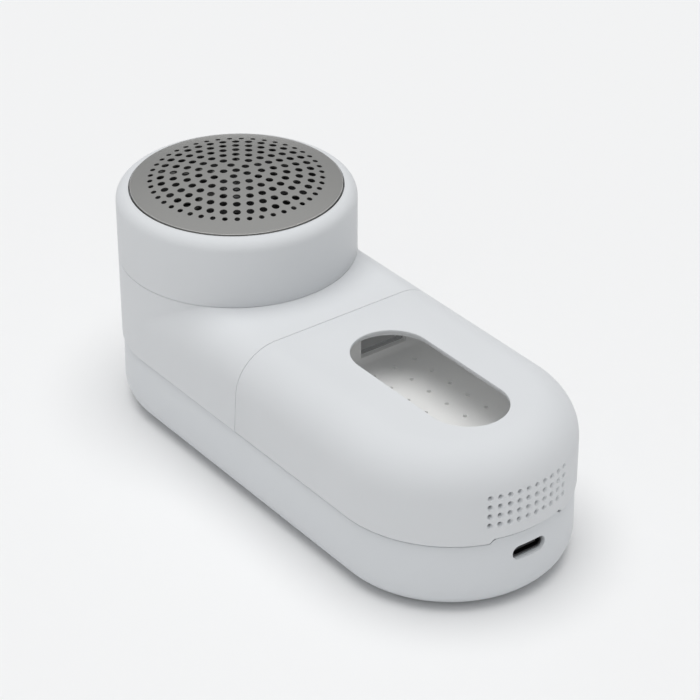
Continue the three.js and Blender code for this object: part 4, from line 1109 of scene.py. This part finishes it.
graph, given = geometry_graph("foil holes", {
    "Pitch": ("Float", 1.0), "Edge radius": ("Float", 1.0), "Hole": ("Float", 1.0),
    "Edge hole": ("Float", 1.0), "Axis X": ("Float", 0.0), "Height": ("Float", 0.0),
})
centre = graph.node("GeometryNodeMeshCylinder", None,
                    {"Vertices": 20, "Radius": given["Hole"], "Depth": 12 * MM}, "Mesh")
axis = graph.node("ShaderNodeCombineXYZ", None, {"X": given["Axis X"], "Z": given["Height"]})
tools = [graph.node("GeometryNodeTransform", None, {"Geometry": centre, "Translation": axis})]
for number, (count, degrees) in enumerate(HOLE_RINGS, start=1):
    outermost = number == len(HOLE_RINGS)
    tools.append(graph.node("GeometryNodeGroup", {"node_tree": ring_group}, {
        "Count": count, "Turn": math.radians(degrees), "Axis X": given["Axis X"],
        "Radius": given["Edge radius"] if outermost else given["Pitch"] * number,
        "Hole": given["Edge hole"] if outermost else given["Hole"], "Height": given["Height"],
    }))
punches = graph.node("GeometryNodeJoinGeometry", None, {0: tools})
end_tree(graph, cut_in_tree(graph, given["Geometry"], punches), FOIL_STEEL)
grow(foil, graph, {
    "Pitch": RING_PITCH * MM, "Edge radius": EDGE_RING * MM, "Hole": HOLE_RADIUS * MM,
    "Edge hole": EDGE_HOLE_RADIUS * MM, "Axis X": HEAD_X * MM, "Height": foil_high.z * MM,
})
smooth(foil)
hand_over(foil, FOIL_STEEL, "guard", "foil_steel", "foil")

# %% [markdown]
# ## Under the foil
# With the guard ring off, the cutter well shows: a turned cup with a collar that the ring grips, a chute
# in its floor that opens into the duct, and holes for the motor's screws and for the pin of the safety
# switch. The cup is turned first and the openings are cut after.

# %% Cutter well and foil retainer
COLLAR = 25.6
WELL_BORE = COLLAR - 1.8
well_floor = BODY_TOP + 2.6
well_seat = well_floor + 1.8
inner_round = [(WELL_BORE - 1.2 * (1 - math.cos(a)), well_seat + 1.2 * (1 - math.sin(a)))
               for a in (0, math.pi / 6, math.pi / 3, math.pi / 2)]
profile = [(3.2, well_floor), (WELL_BORE, well_floor), (WELL_BORE, well_low.z), (well_high.y, well_low.z),
           (well_high.y, BODY_TOP - 0.4), (well_high.y - 0.2, BODY_TOP - 0.2), (COLLAR, BODY_TOP - 0.2)]
profile += rounded(COLLAR, well_high.z, -1, -1, 0.5, 4)[::-1]
profile += rounded(WELL_BORE, well_high.z, 1, -1, 0.4, 4)
profile += inner_round + [(3.2, well_seat)]
cup = turned("well_finish", profile, sides=128)

CHUTE_RADIUS, CHUTE_FRONT = 22.2, 15.2
chute_half = math.acos(CHUTE_FRONT / CHUTE_RADIUS)
chute_plan = [chute_half * (2 * i / 24 - 1) for i in range(25)]
chute = skin("chute", [
    [(HEAD_X + CHUTE_RADIUS * math.cos(a), CHUTE_RADIUS * math.sin(a), z) for a in chute_plan]
    for z in (well_floor - 1, well_seat + 1.5)
])
screw_y = middle(span("motor_screw_1"))[1]
well_holes = [rod("hole", HEAD_X, side * screw_y, 1.4, well_floor - 1, well_seat + 1, 24) for side in (-1, 1)]
well_holes.append(rod("hole", pin_x, 0, 1.1, well_low.z - 1, BODY_TOP, 24))
shape_with(cup, [chute] + well_holes)
smooth(cup)
hand_over(cup, CHARCOAL, "housing", "black_plastic", "cutter_well")

keeper_low, keeper_high = span("foil_retainer")
RETAINER_INNER, RETAINER_EDGE = 23.6, 0.3
keeper = sleeve("retainer_finish", RETAINER_INNER, skirt_radius - FOIL_SHEET - 0.2,
                keeper_low.z, keeper_high.z, 128, RETAINER_EDGE)
smooth(keeper)
hand_over(keeper, CHARCOAL, "guard", "black_plastic", "foil_retainer")

# %% [markdown]
# ### The cutter
# Five upright blades stand in a spoked disc. A blade is skinned through sections from the hub outwards:
# its top follows the inside of the foil, and one side is ground back to a keen edge. Geometry Nodes copy
# it round the axis, so the number of blades is one value.

# %% Cutter carrier, hub and clip
carrier_low, carrier_high = span("cutter_carrier")
HUB_BORE = 3.1
DISC_THICKNESS = 1.6
VANE_HALF = 0.7
WINDOW_CIRCLE, WINDOW_RADIUS = 13.4, 4.6
disc = sleeve("carrier_finish", HUB_BORE, carrier_high.y, carrier_high.z - DISC_THICKNESS,
              carrier_high.z, 128, 0.3)
hub_wall = sleeve("wall", HUB_BORE, HUB_BORE + 2.2, carrier_low.z, carrier_high.z - 0.2, 64)
blade_count = sum(name.startswith("cutter_blade_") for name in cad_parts)
parts, slots = [hub_wall], []
for number in range(blade_count):
    turn_by = 2 * math.pi * (number + 0.5) / blade_count
    vane = block("vane", HUB_BORE + 1, carrier_high.y - 1, -VANE_HALF, VANE_HALF,
                 carrier_low.z + 1.2, carrier_high.z - 1)
    slot_cut = rod("window", WINDOW_CIRCLE, 0, WINDOW_RADIUS, carrier_high.z - 3, carrier_high.z + 1, 40)
    for item in (vane, slot_cut):
        item.data.transform(Matrix.Translation((HEAD_X * MM, 0, 0)) @ Matrix.Rotation(turn_by, 4, "Z"))
    parts.append(vane)
    slots.append(slot_cut)
shape_with(disc, slots)
shape_with(disc, parts, "UNION")
smooth(disc)
hand_over(disc, CHARCOAL, "cutter", "black_plastic", "cutter_carrier")

hub_low, hub_high = span("drive_hub")
hub = turned("hub_finish", [
    (1.2, hub_low.z), (4.85, hub_low.z), (5.0, hub_low.z + 0.15), (5.0, hub_low.z + 1.05),
    (4.85, hub_low.z + 1.2), (3.1, hub_low.z + 1.2), (2.8, hub_low.z + 1.5), (2.8, hub_high.z - 0.3),
    (2.5, hub_high.z), (1.2, hub_high.z),
], sides=64)
smooth(hub)
hand_over(hub, BLACK_PLASTIC, "rotor", "black_plastic", "drive_hub")

clip_low, clip_high = span("retaining_clip")
clip = sleeve("clip_finish", 1.2, clip_high.y, clip_low.z, clip_high.z, 64, 0.12)
for degrees in (0, 120, 240):
    a = math.radians(degrees)
    shape_with(clip, [rod("notch", HEAD_X + 2.2 * math.cos(a), 2.2 * math.sin(a), 0.7, clip_low.z - 1,
                          clip_high.z + 1, 20)])
smooth(clip)
hand_over(clip, SPRING_STEEL, "rotor", "spring_steel", "retaining_clip")

# %% Blades
blade_low, blade_high = span("cutter_blade_5")
BLADE_INNER, BLADE_OUTER = blade_low.x - HEAD_X, blade_high.x - HEAD_X
BLADE_HALF = blade_high.y
BLADE_GAP = 0.8
rings = []
for i in range(19):
    r = BLADE_INNER + (BLADE_OUTER - BLADE_INNER) * i / 18
    top = dome(r) - BLADE_GAP
    ease = 0.4 * max(0, abs(i - 9) - 8)
    rings.append([
        (r, -BLADE_HALF, blade_low.z), (r, BLADE_HALF, blade_low.z), (r, BLADE_HALF, top - 1.3),
        (r, -BLADE_HALF + 0.28, top - ease), (r, -BLADE_HALF, top - ease - 0.02),
    ])
blades = skin("blades_finish", rings)
graph, given = geometry_graph("copies round an axis", {"Count": ("Int", 1), "Axis X": ("Float", 0.0)})
line = graph.node("GeometryNodeMeshLine", None, {"Count": given["Count"], "Offset": (0.0, 0.0, 0.0)})
index = graph.node("GeometryNodeInputIndex")
spin = graph.node("ShaderNodeCombineXYZ", None, {"Z": index * (2 * math.pi) / given["Count"]})
copies = instances(graph, line, given["Geometry"], spin)
shift = graph.node("ShaderNodeCombineXYZ", None, {"X": given["Axis X"]})
copies = graph.node("GeometryNodeTransform", None, {"Geometry": copies, "Translation": shift})
end_tree(graph, copies, BLADE_STEEL)
grow(blades, graph, {"Count": blade_count, "Axis X": HEAD_X * MM})
smooth(blades, 25)
hand_over(blades, BLADE_STEEL, "cutter", "blade_steel",
          *["cutter_blade_" + str(number + 1) for number in range(blade_count)])

# %% [markdown]
# ### Springs
# A spring is a round section swept along a spiral. One tree makes both: the large one that presses the
# cutter up to the foil, and the small one under the pin of the safety switch. Each is as tall as its
# imported part; the joint and travel listed with it are not used.

# %% Springs
graph, given = geometry_graph("coil spring", {
    "Coil radius": ("Float", 1.0), "Wire radius": ("Float", 0.1), "Height": ("Float", 1.0),
    "Turns": ("Float", 3.0), "Axis X": ("Float", 0.0), "Foot": ("Float", 0.0),
})
spiral = graph.node("GeometryNodeCurveSpiral", None, {
    "Resolution": 40, "Rotations": given["Turns"], "Start Radius": given["Coil radius"],
    "End Radius": given["Coil radius"], "Height": given["Height"],
})
section = graph.node("GeometryNodeCurvePrimitiveCircle", None,
                     {"Resolution": 10, "Radius": given["Wire radius"]})
swept = graph.node("GeometryNodeCurveToMesh", None,
                   {"Curve": spiral, "Profile Curve": section, "Fill Caps": True})
foot_point = graph.node("ShaderNodeCombineXYZ", None, {"X": given["Axis X"], "Z": given["Foot"]})
stood = graph.node("GeometryNodeTransform", None, {"Geometry": swept, "Translation": foot_point})
end_tree(graph, stood, SPRING_STEEL)
SPRINGS = (
    ("cutter_spring", "rotor", 0.3, 3, "cutter_float", 0.8),
    ("interlock_spring", "housing", 0.15, 4, "interlock_travel", 0.6),
)
for node, body, wire_radius, turns, joint, travel in SPRINGS:
    low, high = span(node)
    spring = add_object(node + "_finish", bpy.data.meshes.new(node))
    coil_radius = (high.y - low.y) / 2 - wire_radius
    grow(spring, graph, {
        "Coil radius": coil_radius * MM, "Wire radius": wire_radius * MM, "Turns": float(turns),
        "Height": (high.z - low.z - 2 * wire_radius) * MM, "Axis X": (low.x + high.x) / 2 * MM,
        "Foot": (low.z + wire_radius) * MM,
    })
    smooth(spring, 60)
    hand_over(spring, SPRING_STEEL, body, "spring_steel", node)
    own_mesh(spring)

# %% [markdown]
# ### Screws
# Ten screws hold the shaver together, in three lengths. A screw is turned with the crests of its thread
# and a pan head, and its cross recess is cut. The tree stands a copy on every point of a small mesh that
# holds the places.


# %% Screws
def screw_pattern(length, head_up):
    """A screw about the Z axis whose head's underside is at zero."""
    flip = 1 if head_up else -1
    profile = [(0, 1.4), (1.2, 1.4), (2.0, 1.2), (2.4, 0.7), (2.4, 0.1), (2.3, 0), (0.95, 0)]
    crests = int(length / 0.75) - 1
    for i in range(crests):
        start = -0.4 - 0.75 * i
        profile += [(0.85, start), (1.12, start - 0.25), (0.85, start - 0.5)]
    profile += [(0.8, 0.5 - length), (0, -length)]
    pattern = turned("screw", [(r, flip * z) for r, z in profile], 0, 0, 20)
    tops = sorted((flip * 0.75, flip * 2.0))
    cross = block("cross", -1.45, 1.45, -0.28, 0.28, *tops)
    other = block("cross", -0.28, 0.28, -1.45, 1.45, *tops)
    shape_with(cross, [other], "UNION")
    return shape_with(pattern, [cross])


graph, given = geometry_graph("screws", {"Screw": ("Object", None)})
stood = instances(graph, given["Geometry"], tool_object(graph, given, "Screw"))
end_tree(graph, stood, ZINC_PLATE)
SCREW_SETS = (("housing_screw_", 4, False), ("deck_screw_", 4, True), ("motor_screw_", 2, True))
for label, count, head_up in SCREW_SETS:
    names = [label + str(i + 1) for i in range(count)]
    boxes = [span(name) for name in names]
    low, high = boxes[0]
    seat = high.z - 1.4 if head_up else low.z + 1.4
    pattern = screw_pattern(high.z - low.z - 1.4, head_up)
    mesh = bpy.data.meshes.new(label)
    mesh.from_pydata([Vector((*middle(pair), seat)) * MM for pair in boxes], [], [])
    screws = add_object(label + "set", mesh)
    grow(screws, graph, {"Screw": pattern})
    bpy.data.objects.remove(pattern)
    smooth(screws, 40)
    hand_over(screws, ZINC_PLATE, "housing", "zinc_plate", *names)

# %% [markdown]
# ## Charging port and slide switch
# The socket is a drawn steel shell with a round mouth, coloured near black as painted shade for the dark
# inside of the port, and inside it a tongue carries the contacts. The switch's knob lies in its slot under
# the base, and three grooves give a fingernail a grip.

# %% Charging port
SOCKET_INSET, SOCKET_WALL = 0.35, 0.35
mouth, back = socket_high.x, socket_low.x
socket = skin("socket_finish", [
    port_ring(back, -SOCKET_INSET - 0.2), port_ring(back + 0.2, -SOCKET_INSET),
    port_ring(mouth - 0.12, -SOCKET_INSET), port_ring(mouth, -SOCKET_INSET - 0.1),
])
bore = skin("bore", [
    port_ring(back + 1, -SOCKET_INSET - SOCKET_WALL), port_ring(mouth - 0.15, -SOCKET_INSET - SOCKET_WALL),
    port_ring(mouth + 0.1, -SOCKET_INSET - SOCKET_WALL + 0.18),
])
shape_with(socket, [bore])
smooth(socket)
hand_over(socket, PORT_STEEL_PAINTED_SHADE, "housing", "spring_steel", "usb_socket")

tongue_low, tongue_high = span("usb_tongue")
tongue = block("tongue_finish", tongue_low.x, tongue_high.x, tongue_low.y, tongue_high.y,
               tongue_low.z, tongue_high.z)
bevel = tongue.modifiers.new("edge", "BEVEL")
bevel.width = 0.12 * MM
bevel.segments = 2
freeze(tongue)
liner = skin("liner", [port_ring(x, -SOCKET_INSET - SOCKET_WALL - 0.03) for x in (back + 1.05, back + 1.5)])
shape_with(tongue, [liner], "UNION")
smooth(tongue)
hand_over(tongue, BLACK_PLASTIC, "housing", "black_plastic", "usb_tongue")

# %% Slide switch knob
knob_x = knob_low.x + 4.6
grip = block("knob_finish", knob_x, knob_x + 6, -2.8, 2.8, knob_low.z, BASE_WALL + 0.8)
bevel = grip.modifiers.new("edge", "BEVEL")
bevel.width = 0.35 * MM
bevel.segments = 3
freeze(grip)
grooves = []
for step in (-1.6, 0, 1.6):
    groove = rod("groove", 0, 0, 0.45, -4, 4, 20)
    groove.data.transform(Matrix.Translation(Vector((knob_x + 3 + step, 0, knob_low.z - 0.05)) * MM)
                          @ Matrix.Rotation(math.pi / 2, 4, "X"))
    grooves.append(groove)
shape_with(grip, grooves)
plate = block("plate", knob_low.x, knob_high.x, -4.4, 4.4, BASE_WALL + 0.3, BASE_WALL + 1.4)
stem = block("stem", knob_x + 1.5, knob_x + 4.5, -1, 1, BASE_WALL + 1, knob_high.z)
shape_with(grip, [plate, stem], "UNION")
smooth(grip)
hand_over(grip, INNER_PLASTIC, "power_knob", "inner_plastic", "slide_switch_knob")

# %% [markdown]
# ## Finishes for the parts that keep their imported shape
# The remaining parts are plain mouldings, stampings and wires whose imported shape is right. They only need
# their finish, which goes into the material slots of their objects.

# %% Finishes by part
KEPT = {
    "inner plastic": (INNER_PLASTIC, ("deck_plate", "lint_duct")),
    "black": (BLACK_PLASTIC, ("motor_end_cap", "slide_switch_body", "interlock_switch", "charge_chip")),
    "pin": (INNER_PLASTIC, ("interlock_pin",)),
    "zinc": (ZINC_PLATE, ("motor_can",)),
    "steel": (SPRING_STEEL, ("bin_catch", "motor_shaft")),
    "magnet": (CHARCOAL, ("motor_magnet_1", "motor_magnet_2")),
    "copper": (COPPER, ("motor_armature", "motor_commutator", "motor_brush_1", "motor_brush_2")),
    "bronze": (BRONZE, ("upper_bushing", "lower_bushing")),
    "seal": (SEAL_RUBBER, ("duct_gasket",)),
    "battery": (BATTERY_WRAP, ("battery_cell",)),
    "board": (CIRCUIT_LAMINATE, ("circuit_board",)),
    "lamp": (LAMP_CLEAR, ("charge_lamp",)),
    "red": (LEAD_RED, ("battery_lead_red", "motor_lead_red")),
    "dark": (LEAD_BLACK, ("battery_lead_black", "motor_lead_black")),
}
for finish, nodes in KEPT.values():
    for node in nodes:
        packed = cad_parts[node].data
        if packed.materials:
            packed.materials[0] = finish
        else:
            packed.materials.append(finish)
kept_count = sum(len(nodes) for _, nodes in KEPT.values())
hidden_count = sum(item.hide_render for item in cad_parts.values())
print(kept_count, "packed parts finished,", hidden_count, "replaced, of", len(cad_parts))

# %% [markdown]
# ## Studio
# A pale floor without a horizon, light from the whole sky, and one broad soft lamp almost straight
# overhead, which keeps the shadow close round the base. A weak second lamp lifts the tail's side.

# %% Floor and light
bpy.context.scene.view_settings.view_transform = "Standard"
FLOOR_SIZE = 6.0
SKY_HORIZON, SKY_TOP = 0.27, 0.44
floor = add_object("floor", bpy.data.meshes.new("floor"))
half = FLOOR_SIZE / 2
floor.data.from_pydata([(-half, -half, 0), (half, -half, 0), (half, half, 0), (-half, half, 0)], [],
                       [(0, 1, 2, 3)])
material, graph, where = begin_material("pale floor")
surface(graph, {
    "Base Color": mixed(graph, noise(graph, where, 300, 2), (0.885, 0.885, 0.885), (0.89, 0.89, 0.89)),
    "Roughness": 0.9,
    "Specular IOR Level": 0.0,
})
floor.data.materials.append(material)

world = bpy.data.worlds.new("studio")
bpy.context.scene.world = world
world.use_nodes = True
world.node_tree.nodes.clear()
graph = Graph(world.node_tree)
direction = graph.node("ShaderNodeTexCoord", output="Generated")
up = graph.node("ShaderNodeSeparateXYZ", None, {0: direction}, "Z")
level = graph.node("ShaderNodeMapRange", None, {
    "Value": up, "From Min": 0.0, "From Max": 0.85, "To Min": SKY_HORIZON, "To Max": SKY_TOP,
})
sky = graph.node("ShaderNodeBackground", None, {"Color": (0.97, 0.985, 1.0, 1), "Strength": level})
graph.node("ShaderNodeOutputWorld", None, {"Surface": sky})


def soft_lamp(name, towards, strength, spread):
    """A wide soft lamp far away in a direction; it lights without a hard reflection."""
    made = bpy.data.objects.new(name, bpy.data.lights.new(name, "SUN"))
    made.data.energy = strength
    made.data.angle = math.radians(spread)
    made.rotation_euler = Vector(towards).to_track_quat("Z", "Y").to_euler()
    made.visible_glossy = False
    bpy.context.collection.objects.link(made)
    return made


soft_lamp("overhead_lamp", (-0.03, -0.02, 1.0), 1.86, 52)
soft_lamp("front_fill", (0.5, -0.75, 0.25), 0.24, 70)
print("studio ready")
